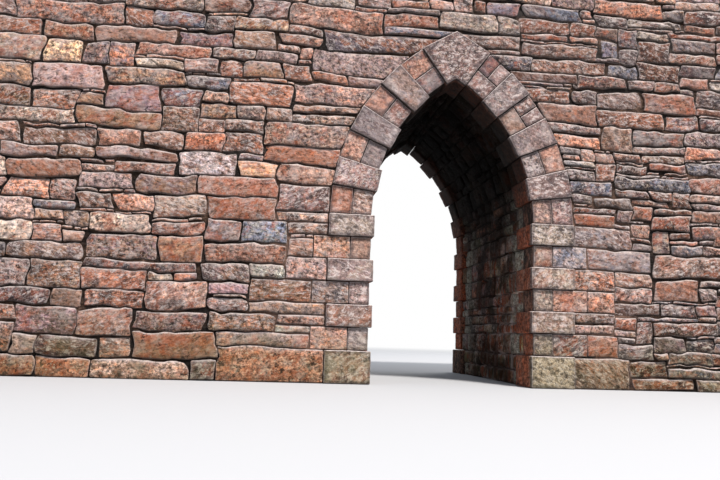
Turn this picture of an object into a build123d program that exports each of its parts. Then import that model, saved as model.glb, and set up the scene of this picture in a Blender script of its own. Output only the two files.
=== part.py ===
from build123d import *
import math
import os

# A small stone road bridge with one pointed arch, as the stones and walls that its masons set.
# X runs along the bridge, the face with the finer view looks towards -Y, and Z is up.
# The origin is on the ground under the middle of the arch. All lengths are in millimetres.

# The whole bridge
BRIDGE_LENGTH = 18000
BRIDGE_WIDTH = 4285  # over the dressed stones of both faces
WALL_TOP = 5400  # where the parapets and the road bed begin
WALL_DEPTH = 600  # how far the facing masonry reaches in from each face

# The pointed opening
HALF_SPAN = 1106
ARCH_RISE = 2005
FOOT_COURSE = 440  # the tall stone at the foot of each jamb
COURSE = 305
COURSES = 6  # courses between the foot stone and the springing

# The dressed stones around the opening
PROUD = 40  # the long stones stand this far out of the wall and out of the reveal
RING_DEPTH = 625  # a long voussoir from intrados to extrados, and a long quoin's face
INNER_DEPTH = 280  # the inner stone of a pair, and a short quoin's face
TOOTH = 195  # how far a stretcher bonds into the wall beyond the long quoins
SHORT_RETURN = 420  # how far the short stones reach into the passage
KEY_HALF_WIDTH = 130
UNITS = 7  # voussoir units from the springing to the keystone

# The rubble's main bed joints, raked out all round the bridge
BED_COURSES = 3  # jamb courses from one to the next
BED_JOINT = 30
BED_JOINT_DEPTH = 35

# The top
ROAD_DEPTH = 200
PARAPET_HEIGHT = 750
PARAPET_DEPTH = 400
COPING_HEIGHT = 160
COPING_STONES = 18  # on each parapet
COPING_GAP = 10

springing = FOOT_COURSE + COURSES * COURSE
ring_edge = HALF_SPAN + RING_DEPTH
bond_edge = ring_edge + TOOTH

# Each side of the arch is struck from a centre beyond the middle, on the springing line.
radius = (HALF_SPAN**2 + ARCH_RISE**2) / (2 * HALF_SPAN)
centre = radius - HALF_SPAN
unit_angle = math.acos((centre + KEY_HALF_WIDTH) / radius) / UNITS

dressed_face = -BRIDGE_WIDTH / 2
wall_face = dressed_face + PROUD
wall_back = wall_face + WALL_DEPTH
short_back = wall_face + SHORT_RETURN
parapet_back = wall_face + PARAPET_DEPTH


def block(x0, x1, y0, y1, z0, z1):
    """A squared block between two corners."""
    return Pos(x0, y0, z0) * Box(x1 - x0, y1 - y0, z1 - z0, align=(Align.MIN, Align.MIN, Align.MIN))


def prism(outline, y0, y1):
    """A solid with this outline in X and Z, from y0 back to y1."""
    upright = Plane((0, y1, 0), x_dir=(1, 0, 0), z_dir=(0, -1, 0))
    return extrude(upright * Polygon(*outline, align=None), amount=y1 - y0, dir=(0, -1, 0))


def ring_point(joint, depth):
    """The point on a joint of the left half, that far outside the intrados line."""
    angle, reach = joint * unit_angle, radius + depth
    return (centre - reach * math.cos(angle), springing + reach * math.sin(angle))


def crown_point(depth):
    """Where both halves of the line at that depth meet over the middle."""
    return (0, springing + math.sqrt((radius + depth) ** 2 - centre**2))


def arch_line(depth):
    """The left half of the line at that depth, from the springing to the crown."""
    return [ring_point(joint, depth) for joint in range(UNITS + 1)] + [crown_point(depth)]


def ring_stone(unit, inner, outer, y0, y1):
    """A stone between two joints of the left half, with straight bed and face edges."""
    corners = [ring_point(unit, inner), ring_point(unit, outer)]
    corners += [ring_point(unit + 1, outer), ring_point(unit + 1, inner)]
    return prism(corners, y0, y1)


def course_levels(course):
    """The bottom and the top of a jamb course, counted up from the foot stone."""
    if course == 0:
        return 0, FOOT_COURSE
    return FOOT_COURSE + (course - 1) * COURSE, FOOT_COURSE + course * COURSE


def jamb_block(course, x0, x1, y0, y1):
    """A squared stone in one course of the left jamb. x0 is the far end from the opening."""
    low, high = course_levels(course)
    return block(-x0, -x1, y0, y1, low, high)


def to_right(shapes):
    """The same shapes on the other side of the opening."""
    return [mirror(shape, about=Plane.YZ) for shape in shapes]


def to_back(shapes):
    """The same shapes in the other face of the bridge."""
    return [mirror(shape, about=Plane.XZ) for shape in shapes]


# Units and courses alternate: a pair of short stones, then one long stone that stands proud.
pair_units = range(0, UNITS, 2)
long_units = range(1, UNITS, 2)
long_courses = range(0, COURSES + 1, 2)
short_courses = range(1, COURSES + 1, 2)
split = PROUD + INNER_DEPTH

# The ring of the front face
long_voussoirs = [ring_stone(u, 0, RING_DEPTH, dressed_face, wall_back) for u in long_units]
inner_voussoirs = [ring_stone(u, PROUD, split, wall_face, short_back) for u in pair_units]
outer_voussoirs = [ring_stone(u, split, RING_DEPTH, wall_face, wall_back) for u in pair_units]

key_left = [ring_point(UNITS, RING_DEPTH), ring_point(UNITS, 0)]
key_right = [(-x, z) for x, z in reversed(key_left)]
key_outline = key_left + [crown_point(0)] + key_right + [crown_point(RING_DEPTH)]
keystone = prism(key_outline, dressed_face, wall_back)

# The jambs of the front face
long_quoins = [jamb_block(c, ring_edge, HALF_SPAN, dressed_face, wall_back) for c in long_courses]
short_quoins = [
    jamb_block(c, HALF_SPAN + split, HALF_SPAN + PROUD, wall_face, short_back)
    for c in short_courses
]
stretchers = [
    jamb_block(c, bond_edge, HALF_SPAN + split, wall_face, wall_back) for c in short_courses
]

# The walls of the front face, toothed to take the stretchers
bed_pitch = BED_COURSES * COURSE
bed_levels = [FOOT_COURSE + n * bed_pitch for n in range(int((WALL_TOP - FOOT_COURSE) / bed_pitch) + 1)]


def raked(wall, x0, x1, y0, y1, lowest=0):
    """The wall with its bed joints cut back between these bounds, from the lowest level up."""
    for level in bed_levels:
        if level > lowest:
            wall -= block(x0, x1, y0, y1, level - BED_JOINT / 2, level + BED_JOINT / 2)
    return wall


joint_back = wall_face + BED_JOINT_DEPTH
end_face = -BRIDGE_LENGTH / 2
joint_inner = end_face + BED_JOINT_DEPTH
left_wall = block(end_face, -bond_edge, wall_face, wall_back, 0, WALL_TOP)
left_wall = raked(left_wall, end_face, -bond_edge, wall_face, joint_back)
left_wall = raked(left_wall, end_face, joint_inner, wall_face, wall_back)
for course in long_courses:
    left_wall += jamb_block(course, bond_edge, ring_edge, wall_face, wall_back)
spandrel_outline = [(-bond_edge, springing)] + arch_line(RING_DEPTH)
spandrel_outline += [(0, WALL_TOP), (-bond_edge, WALL_TOP)]
left_spandrel = prism(spandrel_outline, wall_face, wall_back)
left_spandrel = raked(left_spandrel, -bond_edge, 0, wall_face, joint_back, springing)

parapet = block(
    -BRIDGE_LENGTH / 2, BRIDGE_LENGTH / 2, wall_face, parapet_back, WALL_TOP, WALL_TOP + PARAPET_HEIGHT
)
coping_low = WALL_TOP + PARAPET_HEIGHT
coping_pitch = (BRIDGE_LENGTH + COPING_GAP) / COPING_STONES
coping = []
for stone in range(COPING_STONES):
    start = -BRIDGE_LENGTH / 2 + stone * coping_pitch
    coping.append(
        block(
            start,
            start + coping_pitch - COPING_GAP,
            dressed_face,
            parapet_back + PROUD,
            coping_low,
            coping_low + COPING_HEIGHT,
        )
    )

# The passage: side walls and a pointed vault, toothed at both ends to take the dressed stones
left_tunnel_wall = block(-ring_edge, -HALF_SPAN - PROUD, wall_back, -wall_back, 0, springing)
for course in short_courses:
    tooth = jamb_block(course, HALF_SPAN + split, HALF_SPAN + PROUD, short_back, wall_back)
    left_tunnel_wall += tooth
    left_tunnel_wall += mirror(tooth, about=Plane.XZ)
vault_outline = arch_line(PROUD) + arch_line(RING_DEPTH)[::-1]
left_vault = prism(vault_outline, wall_back, -wall_back)
for unit in pair_units:
    tooth = ring_stone(unit, PROUD, split, short_back, wall_back)
    left_vault += tooth
    left_vault += mirror(tooth, about=Plane.XZ)

# Inside: end walls, and the packed fill that carries the road
end_inner = BRIDGE_LENGTH / 2 - WALL_DEPTH
left_end_wall = block(end_face, -end_inner, wall_back, -wall_back, 0, WALL_TOP)
left_end_wall = raked(left_end_wall, end_face, joint_inner, wall_back, -wall_back)
fill_outline = [(-end_inner, 0), (-ring_edge, 0), (-ring_edge, springing)]
fill_outline += [(-bond_edge, springing), (-bond_edge, WALL_TOP), (-end_inner, WALL_TOP)]
left_fill = prism(fill_outline, wall_back, -wall_back)
left_haunch_fill = prism(spandrel_outline, wall_back, -wall_back)
roadway = block(
    -BRIDGE_LENGTH / 2, BRIDGE_LENGTH / 2, parapet_back, -parapet_back, WALL_TOP, WALL_TOP + ROAD_DEPTH
)

face_nodes = {
    "keystone": [keystone],
    "long_voussoirs": long_voussoirs + to_right(long_voussoirs),
    "inner_voussoirs": inner_voussoirs + to_right(inner_voussoirs),
    "outer_voussoirs": outer_voussoirs + to_right(outer_voussoirs),
    "left_long_quoins": long_quoins,
    "right_long_quoins": to_right(long_quoins),
    "left_short_quoins": short_quoins,
    "right_short_quoins": to_right(short_quoins),
    "jamb_stretchers": stretchers + to_right(stretchers),
    "left_wall": [left_wall],
    "right_wall": to_right([left_wall]),
    "left_spandrel": [left_spandrel],
    "right_spandrel": to_right([left_spandrel]),
    "parapet": [parapet],
    "coping": coping,
}
nodes = {"roadway": [roadway]}
for name, shapes in face_nodes.items():
    nodes["front_" + name] = shapes
    nodes["back_" + name] = to_back(shapes)
for name, shape in (
    ("end_wall", left_end_wall),
    ("tunnel_wall", left_tunnel_wall),
    ("vault", left_vault),
    ("fill", left_fill),
    ("haunch_fill", left_haunch_fill),
):
    nodes["left_" + name] = [shape]
    nodes["right_" + name] = to_right([shape])

os.makedirs("parts", exist_ok=True)
for name, shapes in nodes.items():
    solids = [solid for shape in shapes for solid in shape.solids()]
    export_step(Compound(children=solids), f"parts/{name}.step")
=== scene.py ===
"""Looks of a small stone road bridge with one pointed arch.

Every wall is laid stone by stone: a packer sets rubble on the lowest bed, as a mason does, and each stone is
a rounded block with a rough face. The ring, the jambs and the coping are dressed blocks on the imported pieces'
own lines. All lengths are in metres.
"""
import logging
import math
from collections.abc import Callable, Iterable
from dataclasses import dataclass
from enum import Enum

import bpy
import numpy as np
from mathutils import Matrix, Vector


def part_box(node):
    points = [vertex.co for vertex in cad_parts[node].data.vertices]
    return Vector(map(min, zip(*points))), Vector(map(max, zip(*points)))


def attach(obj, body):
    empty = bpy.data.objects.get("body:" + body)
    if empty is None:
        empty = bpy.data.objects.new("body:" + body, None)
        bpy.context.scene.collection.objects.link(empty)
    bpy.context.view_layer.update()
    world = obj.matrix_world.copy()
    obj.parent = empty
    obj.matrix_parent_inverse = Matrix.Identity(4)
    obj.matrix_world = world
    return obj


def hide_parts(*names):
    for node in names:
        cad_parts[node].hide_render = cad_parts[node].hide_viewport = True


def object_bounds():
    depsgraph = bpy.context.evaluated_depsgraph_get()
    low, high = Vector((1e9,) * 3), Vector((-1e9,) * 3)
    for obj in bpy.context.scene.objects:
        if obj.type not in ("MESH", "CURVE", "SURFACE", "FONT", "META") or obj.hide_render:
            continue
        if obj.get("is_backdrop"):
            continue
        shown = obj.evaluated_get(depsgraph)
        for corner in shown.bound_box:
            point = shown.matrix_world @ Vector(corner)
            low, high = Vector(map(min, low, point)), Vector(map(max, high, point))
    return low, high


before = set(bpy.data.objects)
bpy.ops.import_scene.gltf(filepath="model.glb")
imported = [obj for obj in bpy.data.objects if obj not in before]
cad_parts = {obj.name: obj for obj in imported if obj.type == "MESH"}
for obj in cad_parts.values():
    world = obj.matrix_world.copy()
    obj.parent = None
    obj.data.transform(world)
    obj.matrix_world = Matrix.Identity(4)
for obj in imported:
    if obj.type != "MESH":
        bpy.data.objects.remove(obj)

CAD_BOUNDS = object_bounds()
LOG = logging.getLogger("bridge")
HALVES = (-1, 1)
LEVEL = 1e-4
TINY = 1e-9
JOINT_DEPTH = 0.05
BORDER_WIDTH = 0.1
CORE_DEPTH = 0.5
CORNER_PRIMES = (73856093, 19349663, 83492791)
SEED_PRIME = 2654435761
MIXING_STEPS = ((15, 2246822519), (13, 3266489917))
WORD = 0xFFFFFFFF
Array = np.ndarray
Point = tuple[float, float]
Range = tuple[float, float]
Outline = list[Point]
Placing = Callable[[Array, Array, Array], Array]


def linear(colour: Iterable[float]) -> Array:
    """Display colour to linear light, by the usual curve with its straight start.

    Args:
        colour: red, green and blue from 0 to 255.

    Returns:
        The three linear values from 0 to 1.
    """
    share = np.asarray(list(colour), float) / 255
    return np.where(share <= 0.04045, share / 12.92, ((share + 0.055) / 1.055) ** 2.4)


def eased(share: Array) -> Array:
    """A share from 0 to 1 with a level start and end: its square by three less twice itself."""
    return share * share * (3 - 2 * share)


def block(left: float, low: float, right: float, high: float) -> Outline:
    """Corners of an upright rectangle: low left, low right, high right and high left."""
    return [(left, low), (right, low), (right, high), (left, high)]


def mirrored(outline: Outline) -> Outline:
    """The same outline on the other side of the middle, still turned the same way."""
    return [(-along, up) for along, up in reversed(outline)]


def between(corners: Array, u: Array, v: Array) -> Array:
    """Points that lie the shares u along and v up each stone, on straight lines between its corners."""
    a, b, c, d = (corners[:, None, n] for n in range(4))
    return (a * (1 - u) + b * u) * (1 - v) + (d * (1 - u) + c * u) * v


def added(name: str, data: bpy.types.ID) -> bpy.types.Object:
    """A new object in the scene."""
    thing = bpy.data.objects.new(name, data)
    bpy.context.scene.collection.objects.link(thing)
    return thing


class Tint(Enum):
    """The stones' colours, as a mason would sort them."""

    SALMON = (182, 135, 116)
    ORANGE = (180, 120, 94)
    FLAME = (186, 98, 64)
    BUFF = (182, 145, 127)
    CREAM = (206, 186, 168)
    PINK_GREY = (162, 135, 130)
    ASH = (149, 135, 134)
    BLUE_GREY = (116, 124, 141)
    PLUM = (120, 95, 98)
    SLATE = (88, 79, 83)
    RED_BROWN = (146, 98, 78)
    UMBER = (112, 86, 70)
    OCHRE = (162, 124, 97)
    MOSS = (122, 118, 84)
    SEA_GREEN = (158, 156, 143)
    # Pale crust, lichen and lime; also the painted highlight on the tops of the stones.
    CRUST = (215, 201, 195)
    # Near black: dark grain, splits and runs, and also painted shade in the joints, under the stones and under
    # the vault.
    SOOT = (36, 31, 29)

    @property
    def light(self) -> Array:
        """The colour in linear light."""
        return linear(self.value)

    def paint(self, strength: float = 1.0) -> tuple[float, ...]:
        """The colour in linear light, made lighter or darker."""
        return tuple(self.light * strength)


@dataclass(frozen=True)
class Noise:
    """Smooth seeded noise: random values on the corners of unit cells, eased from corner to corner."""

    seed: int

    def at(self, points: Array, cell: float | Iterable[float]) -> Array:
        """Noise of one size.

        Args:
            points: positions, with three values in the last axis.
            cell: size of a cell, as one value or one for each axis.

        Returns:
            A value from -1 to 1 for each point.
        """
        scaled = points / np.asarray(cell, float)
        base = np.floor(scaled)
        ease = eased(scaled - base)
        base = base.astype(np.int64)
        total = np.zeros(points.shape[:-1])
        for corner in range(8):
            pick = np.array([corner & 1, corner >> 1 & 1, corner >> 2 & 1])
            total += np.where(pick, ease, 1 - ease).prod(-1) * self._hash(base + pick)
        return total * 2 - 1

    def layered(self, points: Array, cell: float | Iterable[float], layers: int = 3) -> Array:
        """Noise in layers, each half the size and half the height of the one before it.

        Args:
            points: positions, with three values in the last axis.
            cell: size of a cell of the first layer.
            layers: how many layers there are.

        Returns:
            A value from -1 to 1 for each point.
        """
        total = np.zeros(points.shape[:-1])
        for layer in range(layers):
            total += self.at(points + 17.3 * layer, np.asarray(cell, float) / 2**layer) / 2**layer
        return total / (2 - 2.0 ** (1 - layers))

    def _hash(self, cells: Array) -> Array:
        """A random value for each cell corner.

        Args:
            cells: whole-numbered corners, with three values in the last axis.

        Returns:
            Values from 0 to 1.
        """
        x, y, z = (cells[..., axis] * prime for axis, prime in enumerate(CORNER_PRIMES))
        mixed = (x ^ y ^ z ^ self.seed * SEED_PRIME) & WORD
        for shift, factor in MIXING_STEPS:
            mixed = ((mixed ^ mixed >> shift) * factor) & WORD
        return (mixed ^ mixed >> 16) / WORD


@dataclass(frozen=True)
class ArchForm:
    """The pointed opening and the walls around it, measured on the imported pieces."""

    half_span: float
    ring_edge: float
    bond_edge: float
    springing: float
    foot: float
    proud: float
    inner_depth: float
    centre: float
    key_angle: float
    dressed_face: float
    wall_face: float
    short_back: float
    wall_back: float
    half_length: float
    wall_top: float
    road_top: float
    parapet_back: float
    parapet_top: float
    coping_top: float
    units: int = 7
    courses: int = 6

    @classmethod
    def from_frame(cls) -> "ArchForm":
        """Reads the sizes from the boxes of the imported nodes.

        The centre of each half of the arch follows from the crown of the extrados, which is as high over the
        springing as the root of (ring edge + centre) squared less centre squared.

        Returns:
            The form.
        """
        long_low, long_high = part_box("front_left_long_quoins")
        short_low, short_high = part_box("front_left_short_quoins")
        ring_edge, springing = -long_low.x, long_high.z
        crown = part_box("left_vault")[1].z - springing
        centre = (crown**2 - ring_edge**2) / (2 * ring_edge)
        key_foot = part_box("front_keystone")[0].z - springing
        wall_low, wall_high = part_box("front_left_wall")
        parapet_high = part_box("front_parapet")[1]
        return cls(
            half_span=-long_high.x,
            ring_edge=ring_edge,
            bond_edge=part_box("front_jamb_stretchers")[1].x,
            springing=springing,
            foot=short_low.z,
            proud=long_high.x - short_high.x,
            inner_depth=short_high.x - short_low.x,
            centre=centre,
            key_angle=math.asin(key_foot / (centre - long_high.x)),
            dressed_face=long_low.y,
            wall_face=short_low.y,
            short_back=short_high.y,
            wall_back=long_high.y,
            half_length=-wall_low.x,
            wall_top=wall_high.z,
            road_top=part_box("roadway")[1].z,
            parapet_back=parapet_high.y,
            parapet_top=parapet_high.z,
            coping_top=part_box("front_coping")[1].z,
        )

    @property
    def radius(self) -> float:
        """Radius of the intrados line of the long stones."""
        return self.half_span + self.centre

    @property
    def ring_depth(self) -> float:
        """Depth of a long voussoir."""
        return self.ring_edge - self.half_span

    @property
    def split(self) -> float:
        """How far outside the intrados line a pair's inner and outer stones meet."""
        return self.proud + self.inner_depth

    @property
    def unit_angle(self) -> float:
        """Angle that one voussoir unit takes."""
        return self.key_angle / self.units

    @property
    def long_depth(self) -> float:
        """How far the proud stones run into the wall."""
        return self.wall_back - self.dressed_face

    @property
    def short_depth(self) -> float:
        """How far the set-back stones run into the wall."""
        return self.short_back - self.wall_face

    @property
    def parapet_depth(self) -> float:
        """Depth of the parapet, from face to face."""
        return self.parapet_back - self.wall_face

    def level(self, course: int) -> float:
        """Bottom of a jamb course, counted up from the foot stone."""
        height = (self.springing - self.foot) / self.courses
        return 0.0 if course == 0 else self.foot + (course - 1) * height

    def ring_point(self, joint: float, depth: float) -> Point:
        """Point on a joint of the left half, that far outside the intrados line."""
        angle, reach = joint * self.unit_angle, self.radius + depth
        return self.centre - reach * math.cos(angle), self.springing + reach * math.sin(angle)

    def crown_point(self, depth: float) -> Point:
        """Where both halves of the line at that depth meet."""
        return 0.0, self.springing + math.sqrt((self.radius + depth) ** 2 - self.centre**2)

    def line(self, depth: float) -> Outline:
        """The left half of the line at that depth, from the springing up to the crown."""
        joints = [self.ring_point(joint, depth) for joint in range(self.units + 1)]
        return joints + [self.crown_point(depth)]

    def ring_reach(self, height: float) -> float:
        """Half the width of the ring's outer line at a height over the springing, 0 above the crown."""
        points = np.array(self.line(self.ring_depth))
        return -float(np.interp(height, points[:, 1], points[:, 0]))


@dataclass(frozen=True)
class BlockGrid:
    """Grid of a stone's surface: cells along it, up it and into the wall. A plain back is one face."""

    along: int
    up: int
    deep: int
    plain_back: bool = True

    def build(self) -> tuple[Array, Array, Array]:
        """The closed surface of one block on whole-numbered lattice points.

        Returns:
            Lattice points, quads that face outwards, and the back's rim when it is one face.
        """
        shape = (self.along + 1, self.up + 1, self.deep + 1)
        i, j, k = np.indices(shape)
        keep = (i == 0) | (i == self.along) | (j == 0) | (j == self.up) | (k == 0)
        if not self.plain_back:
            keep |= k == self.deep
        ids = np.full(shape, -1)
        ids[keep] = np.arange(keep.sum())
        quads = [self._sheet(ids[:, :, 0])]
        quads += [self._sheet(ids[:, -1, :]), self._sheet(ids[:, 0, :])[:, ::-1]]
        quads += [self._sheet(ids[0, :, :]), self._sheet(ids[-1, :, :])[:, ::-1]]
        back = ids[:, :, -1]
        ring = np.concatenate([back[0, :-1], back[:-1, -1], back[-1, :0:-1], back[:0:-1, 0]])
        if not self.plain_back:
            quads.append(self._sheet(back)[:, ::-1])
            ring = ring[:0]
        return np.argwhere(keep), np.concatenate(quads), ring

    @staticmethod
    def _sheet(ids: Array) -> Array:
        """Quads of a grid of point numbers, turned from the first axis to the second."""
        corners = [ids[:-1, :-1], ids[1:, :-1], ids[1:, 1:], ids[:-1, 1:]]
        return np.stack([corner.ravel() for corner in corners], axis=1)


@dataclass(frozen=True)
class Wear:
    """How far gaps, arrises and corners may eat into any stone, and how its relief is sized."""

    gap_share: float = 0.2
    bevel_share: float = 0.3
    corner_share: float = 0.42
    least: float = 0.012
    relief_cell: tuple[float, ...] = (0.14, 0.06, 0.14)
    drift_cell: tuple[float, ...] = (0.17, 0.11, 0.5)
    drift: float = 1.4
    hump_power: float = 2.5
    hump_middle: float = 0.7


WEAR = Wear()


@dataclass
class Stones:
    """A batch of stones of one kind, each a row of the arrays.

    A stone's outline is four corners in the plane of its face: low left, low right, high right and high left.
    A crest lifts the middle of the lower and upper edges, as on the keystone.
    """

    corners: Array
    deep: Array
    colour: Array
    second: Array
    traits: Array
    face: Array
    bevel: float
    corner_radius: float | Array
    rough: float
    wobble: float
    gap: float | Array
    bulge: float = 0.0
    crest: Range = (0.0, 0.0)

    def sizes(self) -> tuple[Array, Array]:
        """Mean length and height of each stone."""
        side = np.roll(self.corners, -1, axis=1) - self.corners
        length = np.linalg.norm(side, axis=2)
        return (length[:, 0] + length[:, 2]) / 2, (length[:, 1] + length[:, 3]) / 2

    def surface(self, grid: BlockGrid, place: Placing, noise: Noise) -> "Shell":
        """Works out the rounded, roughened surface of every stone at once.

        The box is rounded in the plane of the face with the corner radius, and then all round with the edge
        radius. Noise pushes each point along the direction that it was set away in, and the outline drifts.
        The face leans a little and swells towards its middle. Then the box is stretched over the stone's four
        corners, and the wall's own placing takes it into the bridge.

        Args:
            grid: the surface's grid.
            place: takes the place along the wall, up it and out of it to a point in space.
            noise: the relief.

        Returns:
            The points, faces and marks of the whole batch.
        """
        lattice, quads, rim = grid.build()
        length, height = self.sizes()
        gap = np.minimum(self.gap, np.minimum(length, height) * WEAR.gap_share)
        size = np.stack([length - 2 * gap, height - 2 * gap, self.deep], axis=1)
        size = np.maximum(size, WEAR.least)[:, None, :]
        narrow = size[:, :, :2].min(axis=2, keepdims=True)
        bevel = np.minimum(self.bevel, narrow * WEAR.bevel_share)
        turn = np.minimum(np.reshape(self.corner_radius, (-1, 1, 1)), narrow * WEAR.corner_share)
        point = self._box(grid, lattice, size, bevel)
        point[:, :, :2] = self._rounded(point[:, :, :2], turn, size[:, :, :2] - turn)[0]
        far = size - bevel
        if grid.plain_back:
            far[:, :, 2] = np.inf
        point, heading = self._rounded(point, bevel, far)
        sample = point + np.random.default_rng(noise.seed).uniform(0, 90, (len(size), 1, 3))
        point = point + heading * (noise.layered(sample, WEAR.relief_cell) * self.rough)[:, :, None]
        for axis in range(2):
            drift = noise.layered(sample + 31 * (axis + 1), WEAR.drift_cell, 2)
            point[:, :, axis] += drift * self.wobble * WEAR.drift
        share = point[:, :, :2] / size[:, :, :2]
        tilt = np.random.default_rng(noise.seed + 1).uniform(-1, 1, (len(size), 1, 2)) * self.rough
        hump = 1 - np.abs(2 * np.clip(share, 0, 1) - 1) ** WEAR.hump_power
        out = self.face[:, None] - point[:, :, 2] + ((share - 0.5) * tilt).sum(2)
        out = out + self.bulge * (hump.min(axis=2) - WEAR.hump_middle)
        inset = gap[:, None, None] / np.stack([length, height], axis=1)[:, None, :]
        flat = self._stretch(inset + share * (1 - 2 * inset))
        inner = np.minimum(point[:, :, :2], size[:, :, :2] - point[:, :, :2]).min(axis=2)
        depth = (point[:, :, 2] - bevel[:, :, 0]) * (grid.deep == 1)
        colours = {"tint": self.colour, "second": self.second, "traits": self.traits}
        marks = {name: np.repeat(values, len(lattice), axis=0) for name, values in colours.items()}
        marks["edge"] = 1 - np.abs(heading).max(axis=2).ravel()
        marks["joint"] = np.clip(depth / JOINT_DEPTH, 0, 1).ravel()
        marks["border"] = np.clip(1 - inner / BORDER_WIDTH, 0, 1).ravel()
        return Shell.from_batch(place(flat[..., 0], flat[..., 1], out), quads, rim, marks)

    def _box(self, grid: BlockGrid, lattice: Array, size: Array, bevel: Array) -> Array:
        """Points of each stone's sharp box, on grid lines whose outer cells are as wide as the rounded edge.

        Args:
            grid: the surface's grid.
            lattice: its whole-numbered points.
            size: length, height and depth of each stone.
            bevel: edge radius of each stone.

        Returns:
            Stones by points by three.
        """
        shares = []
        for axis, count in enumerate((grid.along, grid.up, grid.deep)):
            edge = bevel[:, :, 0] / size[:, :, axis]
            both = axis < 2 or not grid.plain_back
            last = 1 - edge if both else np.ones_like(edge)
            steps = np.linspace(0, 1, count - 1 if both else count)
            lines = [np.zeros_like(edge), edge + (last - edge) * steps]
            if both:
                lines.append(np.ones_like(edge))
            shares.append(np.concatenate(lines, axis=1)[:, lattice[:, axis]])
        if grid.deep == 1:
            shares[2] = np.broadcast_to(lattice[:, 2].astype(float), shares[0].shape)
        return np.stack(shares, axis=2) * size

    @staticmethod
    def _rounded(point: Array, radius: Array, far: Array) -> tuple[Array, Array]:
        """Pulls points into a box that is smaller by a radius, and sets them that radius away from it.

        Args:
            point: points of sharp boxes that start at 0.
            radius: the radius of each box.
            far: the smaller boxes' far ends.

        Returns:
            The points, and the direction that each was set away in.
        """
        near = np.clip(point, radius, np.maximum(far, radius))
        away = point - near
        span = np.maximum(np.linalg.norm(away, axis=2, keepdims=True), TINY)
        return near + away / span * np.minimum(radius, span), away / span

    def _stretch(self, share: Array) -> Array:
        """Spreads a unit square over each stone's corners, with the crest raised over the middle.

        Args:
            share: places in the square.

        Returns:
            Places along the wall and up it.
        """
        u, v = share[..., :1], share[..., 1:]
        flat = between(self.corners, u, v)
        flat[..., 1:] += (self.crest[0] * (1 - v) + self.crest[1] * v) * (1 - np.abs(2 * u - 1))
        return flat


@dataclass
class Shell:
    """Points, faces and marks of closed surfaces. A mark is a value or a colour for each point."""

    points: Array
    faces: list[Array]
    marks: dict[str, Array]

    @classmethod
    def from_batch(cls, points: Array, quads: Array, rim: Array, marks: dict[str, Array]) -> "Shell":
        """Lays the batch's stones end to end in one shell.

        Args:
            points: stones by points by three.
            quads: one stone's quads.
            rim: one stone's back face, or nothing.
            marks: the marks, already end to end.

        Returns:
            The joined shell.
        """
        count, each = points.shape[:2]
        start = np.arange(count)[:, None, None] * each
        faces = [(quads[None] + start).reshape(-1, quads.shape[1])]
        if len(rim):
            faces.append((rim[None, None] + start).reshape(-1, len(rim)))
        return cls(points.reshape(-1, 3), faces, marks)

    @classmethod
    def plain(cls, points: Array, faces: list[Array], tint: Tint, joint: float) -> "Shell":
        """A surface of one tint, all of it as deep in a joint.

        Args:
            points: its points.
            faces: its faces.
            tint: its tint.
            joint: 1 at the bottom of a joint, 0 outside it.

        Returns:
            The shell.
        """
        tone = np.tile(tint.light, (len(points), 1))
        ones = np.ones(len(points))
        marks = {"tint": tone, "second": tone, "traits": np.full_like(tone, 0.5)}
        return cls(points, faces, marks | {"edge": ones * 0, "joint": ones * joint, "border": ones * joint})

    @classmethod
    def core(cls, outline: Outline, low: float, high: float, place: Placing) -> "Shell":
        """A plain solid under the stones, with flat ends, dark with the joints' painted shade where it shows
        between them.

        Args:
            outline: corners in the wall's plane, turned from the first axis to the second.
            low: its inner end, along the way out of the wall.
            high: its outer end.
            place: the wall's placing.

        Returns:
            The solid, all of it coloured like the bottom of a joint: painted shade with earth in patches.
        """
        flat = np.array(outline)
        count = len(flat)
        points = np.concatenate([place(flat[:, 0], flat[:, 1], np.full(count, out)) for out in (high, low)])
        ring = np.arange(count)
        follow = np.roll(ring, -1)
        sides = np.stack([ring, ring + count, follow + count, follow], axis=1)
        return cls.plain(points, [sides, ring[None], (ring[::-1] + count)[None]], Tint.SOOT, 1.0)

    @classmethod
    def join(cls, shells: list["Shell"]) -> "Shell":
        """Several shells as one.

        Args:
            shells: shells that bear the same marks.

        Returns:
            The joined shell.
        """
        starts = np.cumsum([0] + [len(shell.points) for shell in shells])
        faces = [face + start for shell, start in zip(shells, starts) for face in shell.faces]
        marks = {name: np.concatenate([shell.marks[name] for shell in shells]) for name in shells[0].marks}
        return cls(np.concatenate([shell.points for shell in shells]), faces, marks)

    def mesh(self, name: str) -> bpy.types.Mesh:
        """Puts the arrays into a new mesh with its marks, smooth but for the flat backs.

        Args:
            name: the mesh's name.

        Returns:
            The mesh, marked also with how far each point faces up.
        """
        mesh = bpy.data.meshes.new(name)
        mesh.vertices.add(len(self.points))
        mesh.vertices.foreach_set("co", self.points.astype(np.float32).ravel())
        corners = np.concatenate([face.ravel() for face in self.faces])
        counts = np.concatenate([np.full(len(face), face.shape[1]) for face in self.faces])
        mesh.loops.add(len(corners))
        mesh.loops.foreach_set("vertex_index", corners.astype(np.int32))
        mesh.polygons.add(len(counts))
        mesh.polygons.foreach_set("loop_start", (np.cumsum(counts) - counts).astype(np.int32))
        mesh.polygons.foreach_set("use_smooth", counts == 4)
        mesh.update(calc_edges=True)
        normals = np.empty(self.points.size, np.float32)
        mesh.vertex_normals.foreach_get("vector", normals)
        for label, values in (self.marks | {"up": normals[2::3]}).items():
            kind, key = ("FLOAT", "value") if values.ndim == 1 else ("FLOAT_COLOR", "color")
            if values.ndim == 2:
                values = np.concatenate([values, np.ones((len(values), 1))], axis=1)
            mesh.attributes.new(label, kind, "POINT").data.foreach_set(key, values.astype(np.float32).ravel())
        mesh.validate()
        return mesh


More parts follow.
